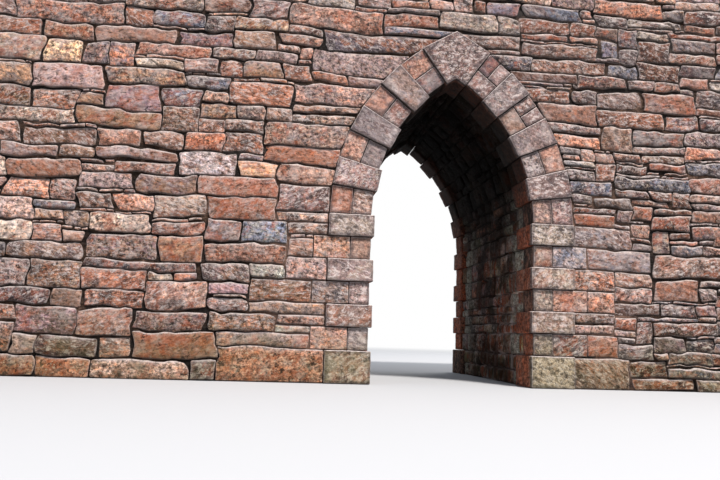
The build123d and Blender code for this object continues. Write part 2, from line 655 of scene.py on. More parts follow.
@dataclass(frozen=True)
class Side:
    """One side of the ground that a mason fills: fixed stones with level tops, and a free line above."""

    levels: tuple[float, ...]
    ends: tuple[float, ...]
    free: Callable[[float], float]

    @classmethod
    def toothed(
        cls, half: int, levels: Iterable[float], reaches: Iterable[float],
        free: Callable[[float], float] | None = None,
    ) -> "Side":
        """A side that is toothed to take cut stones.

        Args:
            half: -1 or 1, for the half of the wall that it lies in.
            levels: tops of the cut stones.
            reaches: how far from the middle each one's end lies.
            free: how far the side lies from the middle above them, as the last of them does if left out.

        Returns:
            The side.
        """
        ends = tuple(half * reach for reach in reaches)
        line = (lambda height: half * free(height)) if free else lambda height: ends[-1]
        return cls(tuple(levels), ends, line)

    def at(self, height: float) -> float:
        """Where the side lies at that height."""
        fixed = next((end for level, end in zip(self.levels, self.ends) if height < level), None)
        return self.free(height) if fixed is None else fixed

    def limit(self, height: float) -> float:
        """The next level at which the side jumps, so that no stone may cross it."""
        return next((level for level in self.levels if level > height + LEVEL), math.inf)

    def closed(self, height: float) -> bool:
        """Whether it has met the side of the other half at that height."""
        return self.free(height) == 0


@dataclass
class Run:
    """A level stretch of the unfinished top of the wall."""

    start: float
    end: float
    height: float
    left: Side | None = None
    right: Side | None = None

    @classmethod
    def on_ground(cls, left: Side, right: Side) -> "Run":
        """The stretch between two sides, before the first stone."""
        return cls(left.at(0), right.at(0), 0.0, left, right)


@dataclass(frozen=True)
class StoneSizes:
    """The sizes that a mason picks from, and how closely the beds are kept level."""

    thin: float = 0.085
    usual: float = 0.262
    thick: float = 0.38
    shortest: float = 0.17
    longest: float = 1.4
    snap: float = 0.075
    bonded: float = 0.42
    thin_share: float = 0.1
    thick_share: float = 0.15

    def draw(self, dice: np.random.Generator) -> tuple[float, float]:
        """Picks the next stone's height, and its length, which is about the height to the power 0.6.

        Args:
            dice: the random source.

        Returns:
            Height and length.
        """
        kind = dice.random()
        if kind < self.thin_share:
            height = dice.uniform(self.thin, self.usual * 0.68)
        elif kind < 1 - self.thick_share:
            height = dice.uniform(self.usual * 0.82, self.usual * 1.18)
        else:
            height = dice.uniform(self.usual * 1.25, self.thick)
        length = height**0.6 * dice.lognormal(0.42, 0.42)
        return height, float(np.clip(length, self.shortest * 1.2, self.longest))


USUAL_SIZES = StoneSizes()
FINE_SIZES = StoneSizes(
    0.07, 0.212, 0.37, shortest=0.14, longest=1.15, snap=0.055, bonded=0.36, thin_share=0.14
)


@dataclass
class Mason:
    """Fills a wall with rubble, always on the lowest bed, from wall end to wall end.

    Where the wall has two hands, the stones right of its middle may have sizes of their own. At the join
    height the two halves of the wall meet over the arch.
    """

    runs: list[Run]
    top: float
    seed: int
    right_sizes: StoneSizes = USUAL_SIZES
    join_height: float = math.inf

    def lay(self) -> Array:
        """Lays every stone.

        Returns:
            Stones by four corners by two: low left, low right, high right, high left.
        """
        dice = np.random.default_rng(self.seed)
        laid = []
        while True:
            index = min(range(len(self.runs)), key=lambda n: self.runs[n].height)
            if self.runs[index].height > self.top - LEVEL:
                return np.array(laid)
            laid.append(self._stone(index, dice))
            self._merge()

    def _stone(self, index: int, dice: np.random.Generator) -> Outline:
        """Lays one stone on a run and puts the run's new shape in its place.

        The stone starts at one end of the run, and takes all of it where too little would be left over.
        Beside cut stones it is long enough to bond, and as high as one of them or half as high.

        Args:
            index: the run's number.
            dice: the random source.

        Returns:
            The stone's corners.
        """
        run = self.runs[index]
        sizes = self.right_sizes if run.start + run.end > 0 else USUAL_SIZES
        height, length = sizes.draw(dice)
        width = run.end - run.start
        at_left = dice.random() < 0.5
        side, other = (run.left, run.right) if at_left else (run.right, run.left)
        if side and side.limit(run.height) < math.inf:
            length = max(length, sizes.bonded)
            left_over = side.limit(run.height) - run.height
            height = left_over / 2 if left_over > sizes.usual and dice.random() < 0.25 else left_over
        whole = width - length < (sizes.bonded if other else sizes.shortest * 1.5)
        if whole and width > sizes.longest * 1.1:
            whole, length = False, width / 2
        touch_left, touch_right = whole or at_left, whole or not at_left
        start = run.start if touch_left else run.end - length
        end = run.end if touch_right else run.start + length
        left, right = run.left if touch_left else None, run.right if touch_right else None
        beds = [self.runs[index - 1].height] if index and touch_left and not left else []
        if index + 1 < len(self.runs) and touch_right and not right:
            beds.append(self.runs[index + 1].height)
        snap = sizes.snap * (2 if dice.random() < 0.55 else 1) * (0 if side else 1)
        top = run.height + height
        near = (bed for bed in beds if abs(top - bed) < snap and bed - run.height > sizes.thin * 0.8)
        top = self._held(next(near, top), run.height, (left, right), sizes.thin)
        high_start = left.at(top - LEVEL) if left else start
        high_end = right.at(top - LEVEL) if right else end
        if top > self.join_height - LEVEL:
            left, right = (None if side and side.closed(self.join_height) else side for side in (left, right))
        ends = left.at(top) if left else high_start, right.at(top) if right else high_end
        fresh = [Run(*ends, top, left, right)]
        if not touch_left:
            fresh.insert(0, Run(run.start, start, run.height, run.left, None))
        if not touch_right:
            fresh.append(Run(end, run.end, run.height, None, run.right))
        self.runs[index : index + 1] = fresh
        return [(start, run.height), (end, run.height), (high_end, top), (high_start, top)]

    def _held(self, top: float, bed: float, sides: Iterable[Side | None], thin: float) -> float:
        """Holds a stone's top under the next jump of a side, the join and the wall's top.

        Args:
            top: the height that it would have.
            bed: the height that it lies on.
            sides: the sides that it touches.
            thin: the least height that may be left over.

        Returns:
            The top, raised to the next of those levels where less than a thin stone would be left under it.
        """
        for side in filter(None, sides):
            ceilings = [side.limit(bed)] + [self.join_height] * side.closed(self.join_height)
            for ceiling in ceilings:
                if ceiling > bed + LEVEL and top > ceiling - thin:
                    top = ceiling
        return self.top if top > self.top - thin * 1.3 else top

    def _merge(self) -> None:
        """Joins neighbouring runs of one height."""
        merged = [self.runs[0]]
        for run in self.runs[1:]:
            last = merged[-1]
            if abs(last.height - run.height) < LEVEL and not last.right and not run.left:
                merged[-1] = Run(last.start, run.end, last.height, last.left, run.right)
            else:
                merged.append(run)
        self.runs = merged


@dataclass(frozen=True)
class Palette:
    """Which tints a batch of stones draws from, and how often."""

    shares: tuple[tuple[Tint, float], ...]
    spread: float
    shade: float
    common_share: float = 0.1
    second_share: float = 0.6

    @classmethod
    def mixed(cls, spread: float, shade: float, **shares: float) -> "Palette":
        """A palette from its tints' names in small letters.

        Args:
            spread: how far the brightness goes from stone to stone.
            shade: how light all of it is.
            shares: how often each tint comes.

        Returns:
            The palette.
        """
        return cls(tuple((Tint[name.upper()], share) for name, share in shares.items()), spread, shade)

    def dress(self, count: int, seed: int) -> tuple[Array, Array, Array]:
        """Draws the colours and traits of a batch.

        Args:
            count: how many stones.
            seed: the random seed.

        Returns:
            First colour, second colour, and three random traits for each stone.
        """
        dice = np.random.default_rng(seed)
        tints = np.array([tint.light for tint, _ in self.shares]) * self.shade
        odds = np.array([share for _, share in self.shares])
        odds = odds / odds.sum()
        first, second = dice.choice(len(tints), (2, count), p=odds)
        bright = np.exp(dice.normal(0, self.spread, (2, count, 1)))
        common = (tints * odds[:, None]).sum(0)
        main = (tints[first] * (1 - self.common_share) + common * self.common_share) * bright[0]
        other = (tints[second] * self.second_share + main * (1 - self.second_share)) * bright[1]
        return np.clip(main, 0.01, 0.95), np.clip(other, 0.01, 0.95), dice.random((count, 3))


RUBBLE_PALETTE = Palette.mixed(
    0.32, 1.05, salmon=2.4, orange=2.0, buff=2.0, pink_grey=1.5, ash=0.9, blue_grey=0.6, plum=0.5, slate=0.4,
    red_brown=1.1, ochre=1.2, umber=0.7, cream=0.6,
)
SQUARED_PALETTE = Palette.mixed(
    0.14, 1.02, buff=1.6, orange=0.9, sea_green=0.3, pink_grey=0.7, ochre=0.4, salmon=1.2, blue_grey=0.3,
    ash=0.4,
)
DUSKY_PALETTE = Palette.mixed(
    0.34, 0.64, salmon=1.9, orange=1.6, buff=1.4, pink_grey=1.5, ash=0.7, blue_grey=1.2, plum=1.2, slate=0.4,
    red_brown=1.9, umber=0.6, cream=0.6,
)
RING_PALETTE = Palette.mixed(0.14, 0.62, pink_grey=1.6, ash=1.0, buff=0.5, plum=0.3)
KEY_PALETTE = Palette.mixed(0.02, 0.42, ash=1.0, pink_grey=1.0)
GRANITE_PALETTE = Palette.mixed(0.14, 0.69, pink_grey=2.0, buff=1.2, ash=0.6, cream=0.4)
PALE_PALETTE = Palette.mixed(0.14, 0.42, cream=2.0, buff=1.0, ash=0.4)
OUTER_PALETTE = Palette.mixed(0.15, 0.76, red_brown=0.9, salmon=1.0, pink_grey=1.0, plum=0.6)
PASSAGE_PALETTE = Palette.mixed(
    0.55, 1.0, umber=1.4, red_brown=0.8, plum=0.5, moss=0.8, ash=0.7, slate=0.6, ochre=0.4
)


class Pattern(Enum):
    """Noise patterns: features to the metre, layers, their roughness, bending, and pull on each axis."""

    CLOUD = (2.6, 6, 0.66)
    MOTTLE = (7.0, 8, 0.7, 0, (1, 1, 1.6))
    CRAG = (12.0, 9, 0.7, 0.6, (1, 1, 1.8))
    GRAIN = (22.0, 4, 0.75)
    FINE = (31.0, 3, 0.65)
    TONE = (11.0, 6, 0.7, 0, (1, 1, 1.5))
    IRON = (6.0, 7, 0.72)
    BLOT = (4.2, 6, 0.62)
    LAYERS = (1.7, 6, 0.62, 0.4, (1.4, 1.4, 20))
    DAMP = (1.1, 4)
    FOOT = (1.7, 4)
    EARTH = (1.9, 6, 0.7)
    RUNS = (1.0, 5, 0.6, 0.3, (13, 13, 0.8))
    FADE = (1.6, 3)
    RUST = (1.4, 5)
    ALGA = (2.4, 4)
    LIME_RIM = (7.0, 5)
    LIME_PATCH = (1.3, 3)
    WET = (1.9, 4)
    WASH = (1.0, 6, 0.65, 0, (5, 5, 2))
    SCALE = (11.0, 8, 0.78)
    DUST = (2.0, 6, 0.65)
    GRAVEL = (60, 4)

    def __init__(
        self, scale: float, detail: float, rough: float = 0.55, bent: float = 0.0,
        pull: tuple[float, ...] = (),
    ) -> None:
        """Names the pattern's values."""
        self.scale, self.detail, self.rough, self.bent, self.pull = scale, detail, rough, bent, pull


@dataclass(frozen=True, eq=False)
class Reading:
    """A node's output: a number, which adds and multiplies like a plain one, a colour or a place."""

    graph: "Graph"
    socket: bpy.types.NodeSocket

    def __getitem__(self, output: str | int) -> "Reading":
        """Another output of the same node."""
        return Reading(self.graph, self.socket.node.outputs[output])

    def __add__(self, other: "Reading | float") -> "Reading":
        """The sum of both."""
        return self.graph.math("ADD", self, other)

    def __sub__(self, other: "Reading | float") -> "Reading":
        """The first less the second."""
        return self.graph.math("SUBTRACT", self, other)

    def __mul__(self, other: "Reading | float") -> "Reading":
        """The product of both."""
        return self.graph.math("MULTIPLY", self, other)

    def __abs__(self) -> "Reading":
        """The number without its sign."""
        return self.graph.math("ABSOLUTE", self)

    def span(self, low: float, high: float, out: Range = (0.0, 1.0)) -> "Reading":
        """Eases the number from one range into another."""
        inputs = {"Value": self, "From Min": low, "From Max": high, "To Min": out[0], "To Max": out[1]}
        return self.graph.node("MapRange", inputs, interpolation_type="SMOOTHSTEP")


class Graph:
    """Short hand for the nodes of a material or of the world."""

    def __init__(self, owner: bpy.types.Material | bpy.types.World) -> None:
        """Clears the owner's nodes.

        Args:
            owner: the material or the world.
        """
        self.owner = owner
        owner.use_nodes = True
        self.tree = owner.node_tree
        self.tree.nodes.clear()

    def node(self, kind: str, inputs: dict[str | int, object] | None = None, **settings: object) -> Reading:
        """Adds a node, sets its properties, and sets or links its inputs.

        Args:
            kind: the node's type, without its usual first words.
            inputs: readings, numbers, places, and colours of three values.
            settings: the node's properties.

        Returns:
            Its first output.
        """
        node = self.tree.nodes.new(f"ShaderNode{kind}")
        for key, value in settings.items():
            setattr(node, key, value)
        for key, value in (inputs or {}).items():
            socket = node.inputs[key]
            if isinstance(value, Reading):
                self.tree.links.new(value.socket, socket)
            else:
                socket.default_value = (*value, 1.0) if socket.type == "RGBA" else value
        return Reading(self, node.outputs[0] if node.outputs else None)

    def math(self, operation: str, first: object, second: object = 0.0) -> Reading:
        """Two numbers through one sum."""
        return self.node("Math", {0: first, 1: second}, operation=operation)

    def blend(self, share: object, first: object, second: object, kind: str = "MIX") -> Reading:
        """Mixes that share of a second colour into the first."""
        return self.node("Mix", {0: share, 6: first, 7: second}, data_type="RGBA", blend_type=kind)[2]

    def noise(self, where: Reading, pattern: Pattern) -> Reading:
        """A number around one half.

        Args:
            where: the coordinates.
            pattern: the pattern of the noise.

        Returns:
            The number.
        """
        if pattern.pull:
            where = self.node("Mapping", {"Vector": where, "Scale": pattern.pull})
        inputs = {"Vector": where, "Scale": pattern.scale, "Detail": pattern.detail}
        return self.node("TexNoise", inputs | {"Roughness": pattern.rough, "Distortion": pattern.bent})

    def mark(self, name: str, output: str = "Fac") -> Reading:
        """Reads one of the mesh's marks."""
        return self.node("Attribute", attribute_name=name)[output]

    def close(
        self, colour: Reading, relief: Reading, distance: float, rough: Reading, gloss: float = 0.5
    ) -> bpy.types.Material:
        """Closes the material with its shader.

        Args:
            colour: its colour.
            relief: the height of its bump.
            distance: how high that is in metres.
            rough: its roughness.
            gloss: how much it mirrors.

        Returns:
            The material.
        """
        bump = self.node("Bump", {"Height": relief, "Distance": distance, "Strength": 1.0})
        inputs = {"Base Color": colour, "Roughness": rough, "Normal": bump, "Specular IOR Level": gloss}
        self.node("OutputMaterial", {0: self.node("BsdfPrincipled", inputs)})
        return self.owner


class StoneFace(Graph):
    """A stone's face while it is being dressed: what is read from it, and its colour so far.

    Each stone has coordinates of its own, shifted and turned by its random traits, so that no two neighbours
    carry the same grain.
    """

    def __init__(self, name: str) -> None:
        """Sets up the readings.

        Args:
            name: the material's name.
        """
        super().__init__(bpy.data.materials.new(name))
        self.where = self.node("TexCoord")["Object"]
        place = self.node("SeparateXYZ", {0: self.where})
        self.along, self.into, self.height = abs(place[0]), abs(place[1]), place[2]
        traits = self.mark("traits", "Color")
        self.trait = self.node("SeparateColor", {0: traits})
        apart = self.node("VectorMath", {0: traits, 1: (9.0, 9.0, 9.0)}, operation="MULTIPLY")
        own = self.node("VectorMath", {0: self.where, 1: apart}, operation="ADD")
        turn = {"Vector": own, "Angle": (self.trait[1] - 0.5) * 1.1}
        self.own = self.node("VectorRotate", turn, rotation_type="Y_AXIS")
        self.cloud, self.mottle, self.crag, self.grain, self.fine = (
            self.noise(self.own, pattern)
            for pattern in (Pattern.CLOUD, Pattern.MOTTLE, Pattern.CRAG, Pattern.GRAIN, Pattern.FINE)
        )
        self.runs = self.noise(self.where, Pattern.RUNS)
        share = (self.mottle + self.cloud).span(0.93, 1.07)
        self.colour = self.blend(share, self.mark("tint", "Color"), self.mark("second", "Color"))

    def coat(self, share: object, paint: object) -> None:
        """Covers that share of the face with a paint."""
        self.colour = self.blend(share, self.colour, paint)

    def stain(self, share: object, factors: object) -> None:
        """Multiplies the colour of that share of the face."""
        self.colour = self.blend(share, self.colour, factors, "MULTIPLY")


@dataclass(frozen=True)
class StoneFinish:
    """How weathered stone looks: its grain, staining, growth and relief, and the light and shade painted into
    its colour.

    Attributes:
        slot: the record's slot.
        patina: how much of the surface has gone dark.
        rust: how much of it is stained orange-red.
        lichen: how much pale growth it has.
        strata: how strongly it splits in level layers.
        speck: how much dark and pale crystals stand out.
        grain: how much its brightness varies from one crystal to the next.
        hue: how far patches of it turn cool or warm.
        crags: how deep and dark its broken face is.
        border: how dark it goes near its edges.
        damp: how damp and dark it is all over; it also brings in the painted shade under the vault and deep in
            the passage.
        streaks: how much lime, water and alga runs down it where it is damp.
        reveal: how much of the faces inside the opening stays stained.
        relief: height of the bump in metres.
        gloss: how much it mirrors.
        cool: what a cool patch multiplies the colour by.
        warm: what a warm patch multiplies it by.
        earthy: what splashed earth at the foot multiplies it by.
        wet: what the painted shade with damp, deep in the passage under the vault, multiplies it by.
    """

    slot: str
    patina: float = 0.75
    rust: float = 0.6
    lichen: float = 0.7
    strata: float = 0.8
    speck: float = 0.72
    grain: float = 0.95
    hue: float = 0.75
    crags: float = 0.85
    border: float = 0.0
    damp: float = 0.0
    streaks: float = 0.0
    reveal: float = 0.0
    relief: float = 0.026
    gloss: float = 0.1
    cool: tuple[float, ...] = (0.79, 0.91, 1.12)
    warm: tuple[float, ...] = (1.25, 0.86, 0.6)
    earthy: tuple[float, ...] = (0.77, 0.77, 0.6)
    wet: tuple[float, ...] = (0.1, 0.065, 0.05)

    def material(self) -> bpy.types.Material:
        """Builds the node material, from the stone's own colours out to what has settled on it and the painted
        light and shade.

        Returns:
            The material.
        """
        face = StoneFace(self.slot)
        grained = self._grain(face)
        self._growth(face)
        split = self._split(face)
        self._zones(face)
        self._settle(face)
        if self.damp:
            self._soak(face, grained)
        if self.reveal:
            self._inside(face, grained)
        pulled = face.node("Mapping", {"Vector": face.own, "Scale": (1, 1, 1.7)})
        cells = face.node("TexVoronoi", {"Vector": pulled, "Scale": 6.5, "Detail": 1.0})
        relief = face.grain * 0.5 + face.crag * (self.crags * 2.7) - cells * (self.crags * 1.6) - split * 0.3
        rough = face.grain.span(0.3, 0.7, (0.78, 0.97))
        return face.close(face.colour, relief, self.relief, rough, self.gloss)

    def _grain(self, face: StoneFace) -> Reading:
        """Cool and warm patches, and crystals of differing brightness, more so on some stones.

        Args:
            face: the face.

        Returns:
            The crystals' brightness as a grey.
        """
        tone = face.noise(face.own, Pattern.TONE)
        face.stain(tone.span(0.52, 0.64) * self.hue, self.cool)
        face.stain(tone.span(0.48, 0.36) * self.hue, self.warm)
        bright = face.grain.span(0.32, 0.68, (1 - self.grain, 1 + self.grain))
        bright = bright * face.mottle.span(0.3, 0.7, (1 + self.grain * 0.4, 1 - self.grain * 0.3))
        grained = face.node("CombineColor", {0: bright, 1: bright, 2: bright})
        face.stain(face.trait[0].span(0.0, 1.0, (0.3, 1.0)), grained)
        return grained

    def _growth(self, face: StoneFace) -> None:
        """Rust, pale and dark blots, dark hollows, lichen on the ridges, and dark and pale crystals.

        Args:
            face: the face.
        """
        iron = face.noise(face.own, Pattern.IRON) + face.trait[1] * 0.2
        face.coat(iron.span(0.63, 0.75) * self.rust, Tint.FLAME.paint(0.85))
        blot = face.noise(face.own, Pattern.BLOT) + face.trait[2] * 0.16
        face.coat(blot.span(0.52, 0.4, (0.0, 0.32)), Tint.CRUST.paint(0.9))
        face.coat(blot.span(0.62, 0.76) * self.patina, Tint.SLATE.paint(0.42))
        face.coat(face.crag.span(0.455, 0.37) * self.crags, Tint.SOOT.paint(1.8))
        patch = (face.cloud + face.trait[2]).span(0.6, 1.3, (0.12, 1.0))
        ridge = (face.crag + face.fine * 0.5).span(0.74, 0.86)
        face.coat(ridge * patch * self.lichen, Tint.CRUST.paint(1.12))
        crystals = face.trait[0].span(0.1, 0.8, (0.35, 1.0)) * self.speck
        face.coat(face.fine.span(0.57, 0.66) * crystals, Tint.SOOT.paint(1.6))
        face.coat(face.fine.span(0.43, 0.34) * crystals * 0.85, Tint.CREAM.paint(1.15))

    def _split(self, face: StoneFace) -> Reading:
        """Dark level splits between the stone's layers, on some stones more than on others.

        Args:
            face: the face.

        Returns:
            How far each point lies in a split.
        """
        layers = abs(face.noise(face.own, Pattern.LAYERS) - 0.5)
        share = face.trait[2].span(0.25, 0.75, (0.1 * self.strata, self.strata))
        split = layers.span(0.0, 0.026, (1, 0)) * share
        face.coat(split * 0.75, Tint.SOOT.paint(1.6))
        return split

    def _zones(self, face: StoneFace) -> None:
        """Dark rims of the stones, and the wall's zones: green and earthy at the foot, grey near the top.

        Args:
            face: the face.
        """
        if self.border:
            rim = face.mark("border") + face.mottle + face.cloud * 1.6
            face.coat(rim.span(1.7, 2.3) * self.border, Tint.SLATE.paint(0.45))
        low = (face.height + face.noise(face.where, Pattern.DAMP)).span(2.0, 0.5)
        face.coat(low * face.cloud.span(0.45, 0.7) * 0.4, Tint.MOSS.paint(0.6))
        foot = face.height + face.noise(face.where, Pattern.FOOT)
        face.stain(foot.span(1.35, 0.8, (0.0, 0.85)), self.earthy)
        face.coat(face.height.span(3.2, 5.4, (0.0, 0.2)), Tint.SLATE.paint(0.4))

    def _settle(self, face: StoneFace) -> None:
        """Pale worn arrises, a painted highlight on the tops, painted shade on the undersides, and painted
        shade with earth and pale mortar in the joints.

        Args:
            face: the face.
        """
        up = face.mark("up")
        face.coat(face.mark("edge") * face.grain.span(0.33, 0.58, (0.35, 1.6)), Tint.CRUST.paint(0.85))
        # Painted highlight: faces that point up are lightened as if lit from above, together with pale dust on
        # the tops.
        face.coat(up.span(0.15, 0.65) * face.grain.span(0.3, 0.6, (0.2, 0.8)), Tint.CRUST.paint(0.95))
        # Painted shade: faces that point down are darkened, as a stone's underside lies in its own shade.
        face.coat(up.span(-0.15, -0.7, (0.0, 0.7)), Tint.SOOT.paint(1.2))
        # Joint fill: near black as painted shade deep in the gaps, with brown earth and pale mortar in patches.
        # The dark cores behind the stones take the same colour.
        bed = face.noise(face.where, Pattern.EARTH)
        fill = face.blend(bed.span(0.46, 0.58), Tint.SOOT.paint(0.7), Tint.UMBER.paint(0.34))
        fill = face.blend(bed.span(0.56, 0.7), fill, Tint.BUFF.paint(0.55))
        near = face.along.span(2.9, 2.1) * face.height.span(3.0, 2.2, (0.0, 0.75))
        fill = face.blend(near * bed.span(0.38, 0.5), fill, Tint.BUFF.paint(0.6))
        face.coat(face.mark("joint").span(0.02, 0.5, (0.0, 0.94)), fill)

    def _soak(self, face: StoneFace, grained: Reading) -> None:
        """Damp stone with runs on it, painted shade that turns it black under the vault and dark deep in the
        passage, and dry pale stones in places towards both faces.

        Args:
            face: the face.
            grained: its crystals' brightness.
        """
        face.coat(self.damp, Tint.UMBER.paint(0.1))
        self._run_down(face)
        # Painted shade: the stone turns almost black higher up, under the vault.
        face.coat(face.height.span(1.5, 3.1, (0.0, 0.94)), Tint.UMBER.paint(0.03))
        # Painted shade with damp: the colour is darkened strongly towards the middle of the passage, far from
        # both openings.
        wet = face.noise(face.where, Pattern.WET).span(0.42, 0.54, (0.25, 1.0))
        face.stain(wet * face.into.span(1.8, 0.8, (0.0, 0.85)), self.wet)
        dry = face.into.span(0.6, 1.6) * face.trait[2].span(0.35, 0.75) * face.height.span(3.0, 2.2)
        pale = face.blend(0.8, Tint.SEA_GREEN.paint(1.15), grained, "MULTIPLY")
        face.coat(dry * face.mottle.span(0.4, 0.55, (0.15, 0.95)), pale)

    def _run_down(self, face: StoneFace) -> None:
        """Lime, water and alga that have run down the stone.

        Args:
            face: the face.
        """
        fade, rust, alga, rim, patch = (
            face.noise(face.where, pattern)
            for pattern in (Pattern.FADE, Pattern.RUST, Pattern.ALGA, Pattern.LIME_RIM, Pattern.LIME_PATCH)
        )
        face.coat(face.runs.span(0.55, 0.65) * fade.span(0.4, 0.56) * self.streaks, Tint.CRUST.paint())
        face.coat(face.runs.span(0.44, 0.32) * self.streaks, Tint.SOOT.paint())
        rust = face.runs.span(0.46, 0.55) * rust.span(0.46, 0.54)
        face.coat(rust * (self.streaks * 1.2), Tint.FLAME.paint(0.55))
        face.coat(alga.span(0.5, 0.62) * (self.streaks * 0.7), Tint.MOSS.paint(0.5))
        rim = (face.mark("border") + rim).span(1.15, 1.45) * patch.span(0.45, 0.6, (0.0, 0.75))
        face.coat(rim * self.streaks, Tint.CRUST.paint(0.9))

    def _inside(self, face: StoneFace, grained: Reading) -> None:
        """Iron red and damp brown on the faces inside the opening, with painted shade under the vault.

        Args:
            face: the face.
            grained: its crystals' brightness.
        """
        wash, scale = (face.noise(face.where, pattern) for pattern in (Pattern.WASH, Pattern.SCALE))
        red = Tint.UMBER.paint(0.14)
        for share, paint in (
            (face.trait[2].span(0.3, 0.8), Tint.FLAME.paint(0.58)),
            (wash.span(0.46, 0.58, (0.0, 0.8)), Tint.RED_BROWN.paint(0.7)),
            (face.runs.span(0.56, 0.66, (0.0, 0.5)), Tint.BUFF.paint(0.5)),
            (scale.span(0.52, 0.62), Tint.SOOT.paint(0.8)),
            (scale.span(0.46, 0.36, (0.0, 0.7)), Tint.BUFF.paint(0.7)),
        ):
            red = face.blend(share, red, paint)
        red = face.blend(0.85, red, grained, "MULTIPLY")
        inside = face.into.span(2.105, 2.0) * face.height.span(5.3, 5.0)
        face.coat(inside * face.cloud.span(0.3, 0.7, (1.0, self.reveal)), red)
        # Painted shade: the faces inside the opening darken higher up, under the vault.
        face.coat(inside * face.height.span(1.9, 3.2, (0.0, 0.9)), Tint.SOOT.paint(0.5))


@dataclass(frozen=True)
class LooseFinish:
    """Gravel and packed earth: small cells of stone in a dusty bed."""

    slot: str
    light: Tint
    size: float
    dark: Tint = Tint.UMBER

    def material(self) -> bpy.types.Material:
        """Builds the node material.

        Returns:
            The material.
        """
        graph = Graph(bpy.data.materials.new(self.slot))
        where = graph.node("TexCoord")["Object"]
        cells = graph.node("TexVoronoi", {"Vector": where, "Scale": 1 / self.size})
        dust = graph.noise(where, Pattern.DUST)
        grey = graph.node("HueSaturation", {"Saturation": 0.12, "Value": 0.75, "Color": cells["Color"]})
        earth = graph.blend(dust.span(0.35, 0.65), self.light.paint(0.8), self.dark.paint())
        relief = graph.noise(where, Pattern.GRAVEL) - cells
        rough = dust.span(0.3, 0.7, (0.85, 1.0))
        return graph.close(graph.blend(0.45, earth, grey), relief, self.size * 0.5, rough)


FINISHES = (
    StoneFinish(
        "dressed_granite", 0.7, 0.3, 0.6, 0.0, 0.65, 0.85, 0.35, crags=0.5, border=0.6, reveal=0.85,
        relief=0.014,
    ),
    StoneFinish("rubble_stone"),
    StoneFinish("passage_stone", 0.6, 0.9, 0.8, 0.3, 0.8, crags=0.7, damp=0.1, streaks=0.8, gloss=0.04),
    LooseFinish("packed_fill", Tint.OCHRE, 0.06),
    LooseFinish("road_gravel", Tint.BUFF, 0.025),
)


class Yard:
    """Keeps the finishes, and hands every finished piece over to the frame."""

    def __init__(self) -> None:
        """Builds each finish once and dresses the kept nodes in it."""
        self.materials = {finish.slot: finish.material() for finish in FINISHES}
        for name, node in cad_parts.items():
            if name.endswith("fill"):
                self._dress(node, "packed_fill")

    def _dress(self, piece: bpy.types.Object, slot: str) -> None:
        """Gives an object one material."""
        piece.data.materials.clear()
        piece.data.materials.append(self.materials[slot])

    def hand_over(self, name: str, shells: list[Shell], slot: str, *nodes: str) -> None:
        """Turns shells into one piece of the bridge.

        Args:
            name: the piece's name.
            shells: its parts.
            slot: the record's slot.
            nodes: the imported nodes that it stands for.
        """
        mesh = Shell.join(shells).mesh(name)
        piece = added(name, mesh)
        self._dress(piece, slot)
        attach(piece, "root")
        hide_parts(*nodes)
        mesh.calc_loop_triangles()
        LOG.info("%s: %d triangles", name, len(mesh.loop_triangles))


@dataclass(frozen=True)
class StoneGrids:
    """How finely each kind of stone is divided, and which lengths of rubble count as short and long."""

    small: BlockGrid = BlockGrid(6, 4, 1)
    middle: BlockGrid = BlockGrid(9, 5, 1)
    large: BlockGrid = BlockGrid(15, 6, 1)
    corner: BlockGrid = BlockGrid(8, 5, 5)
    dressed: BlockGrid = BlockGrid(14, 9, 5)
    coping: BlockGrid = BlockGrid(18, 4, 8, plain_back=False)
    road: BlockGrid = BlockGrid(300, 60, 1)
    short_below: float = 0.34
    long_above: float = 0.8

    def rubble(self, length: Array) -> list[tuple[BlockGrid, Array]]:
        """Each grid with the mask of its stones, sorted by their lengths."""
        long, short = length > self.long_above, length < self.short_below
        return [(self.small, short), (self.middle, ~short & ~long), (self.large, long)]


GRIDS = StoneGrids()


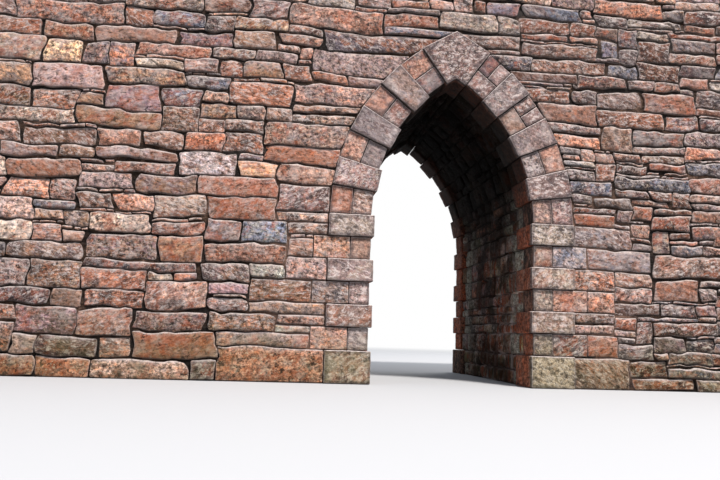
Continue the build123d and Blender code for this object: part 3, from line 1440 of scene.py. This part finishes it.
@dataclass(frozen=True)
class RubbleStyle:
    """How rough stones are set in one wall."""

    palette: Palette = RUBBLE_PALETTE
    deep: float = 0.055
    out: Range = (-0.016, 0.022)
    gap: Range = (-0.002, 0.002)
    round: Range = (0.018, 0.075)
    bevel: float = 0.022
    bulge: float = 0.018
    rough: float = 0.013
    wobble: float = 0.011
    chipped: float = 0.13
    chipped_from: float = 0.15
    chipped_above: float = 0.05
    chip_height: Range = (0.03, 0.055)
    chip_length: float = 0.07
    ragged: Range = (0.055, 0.034)
    ragged_power: int = 6
    ragged_share: float = 0.3

    def shells(self, corners: Array, place: Placing, seed: int) -> list[Shell]:
        """Turns laid stones into rough blocks.

        Args:
            corners: stones by four corners by two.
            place: the wall's placing.
            seed: the random seed.

        Returns:
            One shell for each size of stone.
        """
        dice = np.random.default_rng(seed)
        corners = self._ragged(self._chips(corners, dice), dice)
        count = len(corners)
        dress = self.palette.dress(count, seed + 1)
        face, gap, turn = (dice.uniform(*limits, count) for limits in (self.out, self.gap, self.round))
        across = (corners[:, 1] + corners[:, 2] - corners[:, 0] - corners[:, 3]) / 2
        shells = []
        for number, (grid, mask) in enumerate(GRIDS.rubble(np.linalg.norm(across, axis=1))):
            if mask.any():
                colour, second, traits = (part[mask] for part in dress)
                batch = Stones(
                    corners[mask], np.full(mask.sum(), self.deep), colour, second, traits, face[mask],
                    self.bevel, turn[mask], self.rough, self.wobble, gap[mask], self.bulge,
                )
                shells.append(batch.surface(grid, place, Noise(seed + 7 + number)))
        return shells

    def _chips(self, corners: Array, dice: np.random.Generator) -> Array:
        """Cuts a thin strip off the foot or the head of some tall stones, in up to three chips.

        A chip's corners are found by going the same shares along and up between the stone's own corners.

        Args:
            corners: the stones' corners.
            dice: the random source.

        Returns:
            The corners of all stones and chips.
        """
        count = len(corners)

        def patch(low: Array, high: Array, left: Array, right: Array) -> Array:
            """The part of each stone between two shares of its height and of its length."""
            u = np.stack([left, right, right, left], axis=1)[..., None]
            return between(corners, u, np.stack([low, low, high, high], axis=1)[..., None])

        height = (corners[:, 2, 1] + corners[:, 3, 1] - corners[:, 0, 1] - corners[:, 1, 1]) / 2
        length = np.abs(corners[:, 1, 0] + corners[:, 2, 0] - corners[:, 0, 0] - corners[:, 3, 0]) / 2
        fit = (height > self.chipped_from) & (corners[:, 0, 1] > self.chipped_above)
        chosen = fit & (dice.random(count) < self.chipped)
        strip = dice.uniform(*self.chip_height, count) / np.maximum(height, 0.1)
        foot = dice.random(count) < 0.5
        nil, one = np.zeros(count), np.ones(count)
        body = patch(np.where(foot, strip, 0), np.where(foot, 1, 1 - strip), nil, one)
        cuts = np.sort(dice.random((count, 2)), axis=1)
        low, high = np.where(foot, 0, 1 - strip), np.where(foot, strip, 1)
        result = [corners[~chosen], body[chosen]]
        for left, right in ((nil, cuts[:, 0]), (cuts[:, 0], cuts[:, 1]), (cuts[:, 1], one)):
            keep = chosen & ((right - left) * length > self.chip_length)
            result.append(patch(low, high, left, right)[keep])
        return np.concatenate(result)

    def _ragged(self, corners: Array, dice: np.random.Generator) -> Array:
        """Pulls each corner a little into its stone, a few of them much further."""
        inward = corners.mean(axis=1, keepdims=True) - corners
        pull = dice.random(corners.shape) ** self.ragged_power * np.array(self.ragged)
        return corners + np.sign(inward) * np.minimum(pull, np.abs(inward) * self.ragged_share)


DUSKY_STYLE = RubbleStyle(
    DUSKY_PALETTE, out=(-0.018, 0.024), round=(0.014, 0.06), chipped=0.2, ragged=(0.06, 0.042)
)
SQUARED_STYLE = RubbleStyle(
    SQUARED_PALETTE, out=(-0.008, 0.012), round=(0.008, 0.03), rough=0.008, wobble=0.005, chipped=0.05,
    ragged=(0.03, 0.02),
)
PARAPET_STYLE = RubbleStyle(out=(-0.015, 0.0))
PASSAGE_STYLE = RubbleStyle(PASSAGE_PALETTE, out=(-0.03, -0.008), round=(0.012, 0.04), chipped=0.12)


@dataclass(frozen=True)
class DressedStyle:
    """How squared stones are set: tight joints, a true face and worn arrises."""

    palette: Palette = GRANITE_PALETTE
    bevel: float = 0.012
    rough: float = 0.0045
    gap: float = 0.0035
    grid: BlockGrid = GRIDS.dressed
    corner_radius: float = 0.012
    wobble: float = 0.0035
    set_back: float = 0.004
    unevenness: float = 0.006

    def shell(
        self, corners: list[Outline], out: float, deep: float | list[float], place: Placing, seed: int,
        crest: Range = (0.0, 0.0),
    ) -> Shell:
        """Turns stones' corners into dressed blocks.

        Args:
            corners: four corners for each stone.
            out: how far the faces stand out of the wall's face.
            deep: how far the stones run into the wall.
            place: the wall's placing.
            seed: the random seed.
            crest: lift of the middle of the lower and upper edges.

        Returns:
            The stones' surface.
        """
        count = len(corners)
        face = out - self.set_back - np.random.default_rng(seed + 2).uniform(0, self.unevenness, count)
        depths = np.broadcast_to(np.asarray(deep, float), (count,))
        stones = Stones(
            np.array(corners), depths, *self.palette.dress(count, seed), face, self.bevel, self.corner_radius,
            self.rough, self.wobble, self.gap, crest=crest,
        )
        return stones.surface(self.grid, place, Noise(seed + 3))


CORNER_STYLE = DressedStyle(SQUARED_PALETTE, bevel=0.016, rough=0.009, gap=0.005, grid=GRIDS.corner)
STRETCHER_STYLE = DressedStyle(SQUARED_PALETTE, rough=0.006, gap=0.005)
OUTER_STYLE = DressedStyle(OUTER_PALETTE, rough=0.007, gap=0.005)
COPING_STYLE = DressedStyle(gap=0.005, rough=0.007, bevel=0.018, grid=GRIDS.coping)


class Facing(Enum):
    """The bridge's two faces."""

    FRONT = "front"
    BACK = "back"

    @property
    def turn(self) -> int:
        """1 for the front, and -1 for the back, which is the front turned half round."""
        return 1 if self is Facing.FRONT else -1

    def name_of(self, half: int) -> str:
        """The face and the half on that side along it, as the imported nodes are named."""
        return f"{self.value}_{'left' if half * self.turn < 0 else 'right'}"


@dataclass(frozen=True)
class CornerBonds:
    """Squared corner blocks that alternate along the face and along the end."""

    long: float = 0.64
    short: float = 0.37
    wall_courses: int = 18
    parapet_courses: int = 3

    def levels(self, form: ArchForm) -> Array:
        """Bottoms of the courses and the last one's top."""
        wall = np.linspace(0, form.wall_top, self.wall_courses + 1)
        parapet = np.linspace(form.wall_top, form.parapet_top, self.parapet_courses + 1)
        return np.concatenate([wall, parapet[1:]])

    def along(self, course: int) -> float:
        """Length of a course's block along the face."""
        return self.short if course % 2 else self.long

    def into(self, form: ArchForm, course: int) -> float:
        """Length of a course's block along the end, the parapet's whole depth above the wall."""
        return form.parapet_depth if course >= self.wall_courses else self.along(course + 1)


@dataclass(frozen=True)
class Settling:
    """How far the rubble's beds and joints have drifted, in waves of a few sizes, and how it eases off.

    Attributes:
        lifts: seed, cell and height of each wave of the beds.
        slides: seed, cell and length of each wave of the joints.
        clear_of_ring: distance from the cut stones over which the drift grows to its full size.
        clear_of_edge: the same distance from the ends, the ground and the parapet's top.
    """

    lifts: tuple[tuple, ...] = ((50, (1.3, 0.7, 1), 0.034), (51, 0.38, 0.02), (53, (0.13, 0.13, 1), 0.018))
    slides: tuple[tuple, ...] = ((52, (0.35, 0.17, 1), 0.031), (54, (0.14, 0.11, 1), 0.02))
    clear_of_ring: float = 0.7
    clear_of_edge: float = 0.3

    def drift(self, waves: tuple[tuple, ...], seed: int, flat: Array) -> Array:
        """The sum of some waves, each of them noise times its height."""
        return sum(Noise(seed + number).at(flat, cell) * height for number, cell, height in waves)


@dataclass
class Elevation:
    """One face of the bridge: its rubble, jambs, ring, parapet and coping."""

    form: ArchForm
    facing: Facing
    seed: int
    bonds: CornerBonds = CornerBonds()
    settling: Settling = Settling()
    core_face: float = -0.032
    core_inset: float = 0.05
    parapet_core_inset: float = 0.3
    inner_core_face: float = 0.045
    rubble_foot: float = 0.06
    corner_out: float = 0.012
    outer_depth: float = 0.4
    squared_reach: float = 0.75
    coping_gap: float = 0.012
    slabs: int = 18

    def place(self, along: Array, up: Array, out: Array) -> Array:
        """Straight placing: along the face, up it, and out of it, kept within the bridge's box.

        Args:
            along: place along the face.
            up: place up it.
            out: place out of it.

        Returns:
            The points in space.
        """
        form, turn = self.form, self.facing.turn
        x = np.clip(along, -form.half_length, form.half_length)
        y = np.maximum(form.wall_face - out, form.dressed_face)
        return np.stack([turn * x, turn * y, np.clip(up, 0.0, form.coping_top)], axis=-1)

    def settled(self, along: Array, up: Array, out: Array) -> Array:
        """Placing of the rubble: beds and joints drift by a few centimetres, least near cut stones and ends.

        Args:
            along: place along the face.
            up: place up it.
            out: place out of it.

        Returns:
            The points in space.
        """
        form, settling = self.form, self.settling
        flat = np.stack([along, up, np.zeros_like(up)], axis=-1)
        aside = np.abs(along)
        over = np.hypot(aside + form.centre, up - form.springing) - form.radius - form.ring_depth
        clear = np.where(up > form.springing, over, aside - form.bond_edge) / settling.clear_of_ring
        for edge in (form.half_length - self.bonds.long - aside, np.minimum(up, form.parapet_top - up)):
            clear = np.minimum(clear, edge / settling.clear_of_edge)
        ease = eased(np.clip(clear, 0, 1))
        slide, lift = (
            settling.drift(waves, self.seed, flat) * ease for waves in (settling.slides, settling.lifts)
        )
        return self.place(along + slide, up + lift, out)

    def inward(self, along: Array, up: Array, out: Array) -> Array:
        """Placing on the parapet's inner face, towards the road."""
        return self.place(-along, up, -self.form.parapet_depth - out)

    def build(self, yard: Yard) -> None:
        """Builds every piece of the face."""
        self._rubble(yard)
        self._jambs(yard)
        self._ring(yard)
        self._coping(yard)

    def _runs(self) -> list[Run]:
        """The unfinished wall on the ground, on both sides of the opening.

        Returns:
            The left run and the right one.
        """
        form, bonds = self.form, self.bonds
        courses = range(form.courses + 1)
        levels = [form.level(course + 1) for course in courses]
        teeth = [form.bond_edge if course % 2 else form.ring_edge for course in courses]
        marks = bonds.levels(form)[1:]
        blocks = [form.half_length - bonds.along(course) for course in range(len(marks))]
        outer = [Side.toothed(half, marks, blocks) for half in HALVES]
        inner = [Side.toothed(half, levels, teeth, form.ring_reach) for half in HALVES]
        return [Run.on_ground(outer[0], inner[0]), Run.on_ground(inner[1], outer[1])]

    def _rubble(self, yard: Yard) -> None:
        """Lays the face's rubble, and sorts it into the walls and the parapet with the cores behind them."""
        form, bonds = self.form, self.bonds
        crown = form.crown_point(form.ring_depth)[1]
        laid = Mason(self._runs(), form.parapet_top, self.seed, FINE_SIZES, crown).lay()
        middle = laid.mean(axis=1)
        aside, over = np.abs(middle[:, 0]), middle[:, 1] > form.wall_top
        near = (aside < form.bond_edge + self.squared_reach) & (middle[:, 1] < form.springing)
        reach = form.half_length - self.core_inset
        outline = [(-reach, 0.0), (-form.ring_edge, 0.0), *form.line(form.ring_depth)]
        outline += [(0.0, form.wall_top), (-reach, form.wall_top)]
        for half in HALVES:
            mask = (middle[:, 0] * half > 0) & ~over
            style = RubbleStyle() if half < 0 else DUSKY_STYLE
            shells = style.shells(laid[mask & ~near], self.settled, self.seed + 10 + half)
            shells += SQUARED_STYLE.shells(laid[mask & near], self.settled, self.seed + 14 + half)
            core = outline if half < 0 else mirrored(outline)
            shells.append(Shell.core(core, form.wall_face - form.wall_back, self.core_face, self.place))
            shells.append(self._corner(half, 0, bonds.wall_courses))
            name = self.facing.name_of(half)
            yard.hand_over(f"{name}_rubble", shells, "rubble_stone", f"{name}_wall", f"{name}_spandrel")
        shells = RubbleStyle().shells(laid[over], self.settled, self.seed + 20)
        reach = form.half_length - bonds.short
        ground = Run(-reach, reach, form.road_top - self.rubble_foot)
        inside = Mason([ground], form.parapet_top, self.seed + 40).lay()
        shells += PARAPET_STYLE.shells(inside, self.inward, self.seed + 41)
        reach = form.half_length - self.parapet_core_inset
        core = block(-reach, form.wall_top, reach, form.parapet_top)
        inner_face = self.inner_core_face - form.parapet_depth
        shells.append(Shell.core(core, inner_face, self.core_face, self.place))
        courses = bonds.wall_courses, bonds.wall_courses + bonds.parapet_courses
        shells += [self._corner(half, *courses) for half in HALVES]
        name = f"{self.facing.value}_parapet"
        yard.hand_over(f"{name}_rubble", shells, "rubble_stone", name)

    def _corner(self, half: int, first: int, last: int) -> Shell:
        """Corner blocks of some courses at one end of the face.

        Args:
            half: -1 or 1, for the end.
            first: the lowest course.
            last: the course after the highest one.

        Returns:
            The blocks.
        """
        form, bonds = self.form, self.bonds
        levels = bonds.levels(form)
        corners, deep = [], []
        for course in range(first, last):
            left, right = sorted((half * form.half_length, half * (form.half_length - bonds.along(course))))
            corners.append(block(left, levels[course], right, levels[course + 1]))
            deep.append(bonds.into(form, course))
        seed = self.seed + 30 + half + first
        return CORNER_STYLE.shell(corners, self.corner_out, deep, self.place, seed)

    @staticmethod
    def _halved(corners: Outline, half: int) -> Outline:
        """A stone of the left half, or for the right half its mirror image with corners in the same order.

        Args:
            corners: the stone's corners.
            half: -1 or 1, for the half.

        Returns:
            The corners.
        """
        if half < 0:
            return corners
        low_left, low_right, high_right, high_left = [(-along, up) for along, up in corners]
        return [low_right, low_left, high_left, high_right]

    def _quoins(self, first: int, outer: float, inner: float, half: int) -> list[Outline]:
        """Stones in every second course of a jamb.

        Args:
            first: the lowest course.
            outer: the far end of the stones, from the opening's middle.
            inner: their near end.
            half: -1 or 1, for the jamb.

        Returns:
            The stones' corners.
        """
        level, courses = self.form.level, range(first, self.form.courses + 1, 2)
        return [self._halved(block(-outer, level(c), -inner, level(c + 1)), half) for c in courses]

    def _voussoirs(self, first: int, inner: float, outer: float) -> list[Outline]:
        """Stones in every second unit of the ring, in both halves.

        Args:
            first: the lowest unit.
            inner: the depth in the ring at which the stones begin.
            outer: the depth at which they end.

        Returns:
            The stones' corners.
        """
        point, units = self.form.ring_point, range(first, self.form.units, 2)
        stones = [[point(n, outer), point(n, inner), point(n + 1, inner), point(n + 1, outer)] for n in units]
        return [self._halved(stone, half) for half in HALVES for stone in stones]

    def _jambs(self, yard: Yard) -> None:
        """The quoins of both jambs, and the stretchers that bond the short ones to the wall."""
        form, stretchers = self.form, []
        short_edge = form.half_span + form.split
        for half in HALVES:
            style = DressedStyle(GRANITE_PALETTE if half < 0 else PALE_PALETTE)
            long = self._quoins(0, form.ring_edge, form.half_span, half)
            short = self._quoins(1, short_edge, form.half_span + form.proud, half)
            stretchers += self._quoins(1, form.bond_edge, short_edge, half)
            shells = [
                style.shell(long, form.proud, form.long_depth, self.place, self.seed + 60 + half),
                style.shell(short, 0.0, form.short_depth, self.place, self.seed + 64 + half),
            ]
            name = self.facing.name_of(half)
            nodes = f"{name}_long_quoins", f"{name}_short_quoins"
            yard.hand_over(f"{name}_jamb", shells, "dressed_granite", *nodes)
        shell = STRETCHER_STYLE.shell(stretchers, 0.0, self.outer_depth, self.place, self.seed + 70)
        name = self.facing.value
        yard.hand_over(f"{name}_stretchers", [shell], "rubble_stone", f"{name}_jamb_stretchers")

    def _ring(self, yard: Yard) -> None:
        """The pointed ring: long stones, set-back pairs, and the keystone.

        The two outer stones nearest to the keystone on its right are each laid as two, cut across the middle.
        """
        form, style, name = self.form, DressedStyle(RING_PALETTE), self.facing.value
        long = self._voussoirs(1, 0.0, form.ring_depth)
        inner = self._voussoirs(0, form.proud, form.split)
        outer = self._voussoirs(0, form.split, form.ring_depth)
        for place in (len(outer) - 1, len(outer) - 2):
            a, b, c, d = outer[place]
            low, high = ((np.array(one) + other) / 2 for one, other in ((a, d), (b, c)))
            outer[place : place + 1] = [[a, b, high, low], [low, high, c, d]]
        (foot, low), (top, high) = (form.ring_point(form.units, depth) for depth in (0.0, form.ring_depth))
        crest = form.crown_point(0.0)[1] - low, form.crown_point(form.ring_depth)[1] - high
        key = [(foot, low), (-foot, low), (-top, high), (top, high)]
        key_style, depth = DressedStyle(KEY_PALETTE), form.long_depth
        shells = [
            style.shell(long, form.proud, depth, self.place, self.seed + 80),
            style.shell(inner, 0.0, form.short_depth, self.place, self.seed + 81),
            OUTER_STYLE.shell(outer, 0.0, self.outer_depth, self.place, self.seed + 82),
            key_style.shell([key], form.proud, depth, self.place, self.seed + 83, crest),
        ]
        kinds = ("keystone", "long_voussoirs", "inner_voussoirs", "outer_voussoirs")
        yard.hand_over(f"{name}_ring", shells, "dressed_granite", *(f"{name}_{kind}" for kind in kinds))

    def _coping(self, yard: Yard) -> None:
        """Coping slabs that overhang the parapet on both sides."""
        form = self.form
        marks = np.linspace(-form.half_length, form.half_length, self.slabs + 1)
        slabs = [block(a, form.parapet_top, b, form.coping_top) for a, b in zip(marks[:-1], marks[1:])]
        deep = form.parapet_back + form.proud - form.dressed_face - self.coping_gap
        shell = COPING_STYLE.shell(slabs, form.proud, deep, self.place, self.seed + 90)
        name = f"{self.facing.value}_coping"
        yard.hand_over(f"{name}_stones", [shell], "dressed_granite", name)


@dataclass
class EndWall:
    """The plain wall that closes the bridge at one end, between the corner blocks."""

    form: ArchForm
    hand: int
    seed: int
    bonds: CornerBonds = CornerBonds()
    set_back: float = 0.03
    core_set_back: float = 0.045

    def place(self, along: Array, up: Array, out: Array) -> Array:
        """Placing on the end: along it, up it and out of it."""
        x = np.minimum(self.form.half_length - self.set_back + out, self.form.half_length)
        return np.stack([self.hand * x, self.hand * along, np.maximum(up, 0.0)], axis=-1)

    def build(self, yard: Yard) -> None:
        """Lays the end's rubble and its core."""
        form, bonds = self.form, self.bonds
        marks = bonds.levels(form)[1 : bonds.wall_courses + 1]
        reaches = [abs(form.wall_face) - bonds.into(form, course) for course in range(len(marks))]
        runs = [Run.on_ground(*(Side.toothed(half, marks, reaches) for half in HALVES))]
        shells = RubbleStyle().shells(Mason(runs, form.wall_top, self.seed).lay(), self.place, self.seed + 1)
        reach = abs(form.wall_back)
        core = block(-reach, 0.0, reach, form.wall_top)
        shells.append(Shell.core(core, -CORE_DEPTH, -self.core_set_back, self.place))
        name = "left_end_wall" if self.hand < 0 else "right_end_wall"
        yard.hand_over(f"{name}_rubble", shells, "rubble_stone", name)


@dataclass
class Passage:
    """One side of the passage: its wall, and the half of the vault over it."""

    form: ArchForm
    hand: int
    seed: int
    stone_length: float = 0.36
    length_spread: Range = (0.65, 1.35)
    thin_courses: float = 0.35
    thin_split: Range = (0.4, 0.6)
    core_set_back: float = 0.06
    core_inset: float = 0.02
    vault_cover: float = 0.05
    crown_gap: float = 0.003

    def on_wall(self, along: Array, up: Array, out: Array) -> Array:
        """Placing on the passage's wall, facing the opening."""
        x = self.form.half_span + self.form.proud - out
        return np.stack([self.hand * x, -self.hand * along, np.maximum(up, 0.0)], axis=-1)

    def on_vault(self, along: Array, arc: Array, out: Array) -> Array:
        """Placing under the vault: along the passage, and up the arc.

        Args:
            along: place along the passage.
            arc: place up the arc, measured along it from the springing.
            out: place out of the vault.

        Returns:
            The points in space.
        """
        form = self.form
        radius = form.radius + form.proud
        angle, reach = arc / radius, radius - out
        x = np.maximum(reach * np.cos(angle) - form.centre, self.crown_gap)
        return np.stack([self.hand * x, -self.hand * along, form.springing + reach * np.sin(angle)], axis=-1)

    @staticmethod
    def across(along: Array, up: Array, out: Array) -> Array:
        """Placing of a cross section, pulled out along the passage."""
        return np.stack([along, -out, up], axis=-1)

    def _lay(self, levels: list[float], first_long: bool, seed: int) -> Array:
        """Lays courses that carry on those of the cut stones, a few of them as two thin ones.

        Args:
            levels: tops of the courses.
            first_long: whether the lowest one lies between long stones.
            seed: the random seed.

        Returns:
            The stones' corners.
        """
        dice = np.random.default_rng(seed)
        stones = []
        for number, (low, high) in enumerate(zip([0.0, *levels[:-1]], levels)):
            between_long = (number % 2 == 0) == first_long
            reach = abs(self.form.wall_back if between_long else self.form.short_back)
            halves = dice.random() < self.thin_courses
            beds = [low, low + (high - low) * dice.uniform(*self.thin_split), high] if halves else [low, high]
            for foot, head in zip(beds[:-1], beds[1:]):
                lengths = dice.uniform(*self.length_spread, round(2 * reach / self.stone_length))
                joints = np.concatenate([[0.0], np.cumsum(lengths)]) / lengths.sum() * 2 * reach - reach
                stones += [block(a, foot, b, head) for a, b in zip(joints[:-1], joints[1:])]
        return np.array(stones)

    def build(self, yard: Yard) -> None:
        """Builds the wall's and the vault's pieces."""
        form = self.form
        name = "left" if self.hand < 0 else "right"
        reach = abs(form.short_back) - self.core_inset
        levels = [form.level(course + 1) for course in range(form.courses + 1)]
        shells = PASSAGE_STYLE.shells(self._lay(levels, True, self.seed), self.on_wall, self.seed + 1)
        core = block(-reach, 0.0, reach, form.springing)
        shells.append(Shell.core(core, -CORE_DEPTH, -self.core_set_back, self.on_wall))
        yard.hand_over(f"{name}_passage_rubble", shells, "passage_stone", f"{name}_tunnel_wall")
        radius = form.radius + form.proud
        levels = [radius * form.unit_angle * (unit + 1) for unit in range(form.units)]
        levels.append(math.acos(form.centre / radius) * radius)
        shells = PASSAGE_STYLE.shells(self._lay(levels, False, self.seed + 2), self.on_vault, self.seed + 3)
        outer = form.line(form.ring_depth - self.vault_cover)
        core = outer + form.line(form.proud + self.core_set_back)[::-1]
        core = mirrored(core) if self.hand > 0 else core
        shells.append(Shell.core(core[::-1], -reach, reach, self.across))
        yard.hand_over(f"{name}_vault_rubble", shells, "passage_stone", f"{name}_vault")


@dataclass
class Road:
    """The gravel road between the parapets: a slab with two wheel tracks and a low crown."""

    form: ArchForm
    track: float = 0.72
    track_width: float = 0.16
    rut: float = 0.02
    rut_change: float = 0.3
    drop: float = 0.012
    crown: float = 0.02
    crown_width: float = 1.7
    gravel: float = 0.009

    def build(self, yard: Yard) -> None:
        """Builds the slab. Its top is a low hump across the road, less two wheel tracks, plus noise."""
        form, grid = self.form, GRIDS.road
        lattice, quads, rim = grid.build()
        share = lattice / np.array([grid.along, grid.up, 1])
        x = (share[:, 0] * 2 - 1) * form.half_length
        y = (share[:, 1] * 2 - 1) * abs(form.parapet_back)
        flat = np.stack([x, y, np.zeros_like(x)], axis=1)
        across = (np.abs(y) - self.track) / self.track_width
        rut = np.exp(-(across**2)) * (1 + self.rut_change * Noise(5).at(flat, 1.4)) * self.rut
        top = form.road_top - self.drop - self.crown * (y / self.crown_width) ** 2 - rut
        top += Noise(6).layered(flat, 0.5, 4) * self.gravel
        z = np.where(lattice[:, 2] == 0, np.minimum(top, form.road_top), form.wall_top)
        shell = Shell.plain(np.stack([x, y, z], axis=1), [quads, rim[None]], Tint.BUFF, 0.0)
        yard.hand_over("road_surface", [shell], "road_gravel", "roadway")


@dataclass
class Studio:
    """Floor, light and camera. The angles are in radians, from the wall's own directions."""

    lens: float = 37.144
    sensor: float = 36.0
    place: tuple[float, ...] = (-2.564, -11.9815, 0.625)
    yaw: float = 0.1274
    pitch: float = 0.1294
    roll: float = 0.0314
    floor_reach: float = 150.0
    floor_fade: Range = (14, 40)
    floor_colour: tuple[float, ...] = (0.455, 0.46, 0.47)
    sky_colour: tuple[float, ...] = (0.82, 0.92, 1.08)
    sky_strength: float = 0.62
    lamp_colour: tuple[float, ...] = (1.0, 0.955, 0.915)
    lamp_target: tuple[float, ...] = (0, 0, 2.4)

    def build(self) -> None:
        """Sets everything around the bridge."""
        self._floor()
        self._sky()
        self._lamp("key", (9.5, -24.0, 38.0), 5.0, 33000.0)
        self._lamp("fill", (14.0, 16.0, 15.0), 12.0, 2400.0)
        self._camera()

    def _floor(self) -> None:
        """A wide pale floor that fades to white far from the bridge."""
        mesh, reach = bpy.data.meshes.new("floor"), self.floor_reach
        corners = [(along, across, 0) for along, across in block(-reach, -reach, reach, reach)]
        mesh.from_pydata(corners, [], [(0, 1, 2, 3)])
        floor = added("floor", mesh)
        graph = Graph(bpy.data.materials.new("floor"))
        where = graph.node("TexCoord")["Object"]
        far = graph.node("VectorMath", {0: where}, operation="LENGTH")["Value"].span(*self.floor_fade)
        plain = graph.node("BsdfPrincipled", {"Base Color": self.floor_colour, "Roughness": 0.9})
        white = graph.node("Emission", {"Color": (1, 1, 1), "Strength": 1.0})
        graph.node("OutputMaterial", {0: graph.node("MixShader", {0: far, 1: plain, 2: white})})
        mesh.materials.append(graph.owner)
        floor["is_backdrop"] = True

    def _sky(self) -> None:
        """White to the camera, a soft cool light to everything else."""
        world = bpy.data.worlds.new("studio")
        bpy.context.scene.world = world
        graph = Graph(world)
        paths = graph.node("LightPath")
        shown = paths["Is Camera Ray"]
        for kind in ("Is Glossy Ray", "Is Transmission Ray"):
            shown = graph.math("MAXIMUM", shown, paths[kind])
        soft = graph.node("Background", {"Color": self.sky_colour, "Strength": self.sky_strength})
        white = graph.node("Background", {"Color": (1, 1, 1), "Strength": 1.0})
        graph.node("OutputWorld", {0: graph.node("MixShader", {0: shown, 1: soft, 2: white})})

    def _lamp(self, name: str, where: tuple[float, ...], size: float, power: float) -> None:
        """An area lamp that faces the bridge.

        Args:
            name: its name.
            where: its place.
            size: its width.
            power: its power in watts.
        """
        light = bpy.data.lights.new(name, "AREA")
        light.size, light.energy, light.color = size, power, self.lamp_colour
        lamp = added(name, light)
        lamp.location = where
        aim = Vector(self.lamp_target) - Vector(where)
        lamp.rotation_euler = aim.to_track_quat("-Z", "Y").to_euler()

    def _camera(self) -> None:
        """The photograph's camera, turned by yaw and pitch, and then rolled about the way ahead."""
        level = Vector((math.cos(self.yaw), -math.sin(self.yaw), 0))
        ahead = Vector((math.sin(self.yaw), math.cos(self.yaw), 0)) * math.cos(self.pitch)
        ahead.z = math.sin(self.pitch)
        upright = level.cross(ahead)
        right = math.cos(self.roll) * level + math.sin(self.roll) * upright
        above = -math.sin(self.roll) * level + math.cos(self.roll) * upright
        data = bpy.data.cameras.new("camera")
        data.lens, data.sensor_width = self.lens, self.sensor
        camera = added("camera", data)
        turn = Matrix((right, above, -ahead)).transposed().to_4x4()
        camera.matrix_world = Matrix.Translation(self.place) @ turn
        bpy.context.scene.camera = camera


def note_sizes() -> None:
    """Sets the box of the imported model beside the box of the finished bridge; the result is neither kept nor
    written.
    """
    boxes = [[[float(value) for value in corner] for corner in box] for box in (CAD_BOUNDS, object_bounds())]
    {"cad": boxes[0], "visual": boxes[1]}


def main() -> None:
    """Builds the bridge, the studio and the camera."""
    bpy.context.scene.view_settings.view_transform = "Standard"
    logging.basicConfig(level=logging.INFO, format="%(name)s %(message)s")
    form = ArchForm.from_frame()
    yard = Yard()
    for facing, seed in ((Facing.FRONT, 100), (Facing.BACK, 300)):
        Elevation(form, facing, seed).build(yard)
    for hand in HALVES:
        EndWall(form, hand, 500 + hand).build(yard)
        Passage(form, hand, 600 + 10 * hand).build(yard)
    Road(form).build(yard)
    Studio().build()
    note_sizes()


if __name__ == "__main__":
    main()
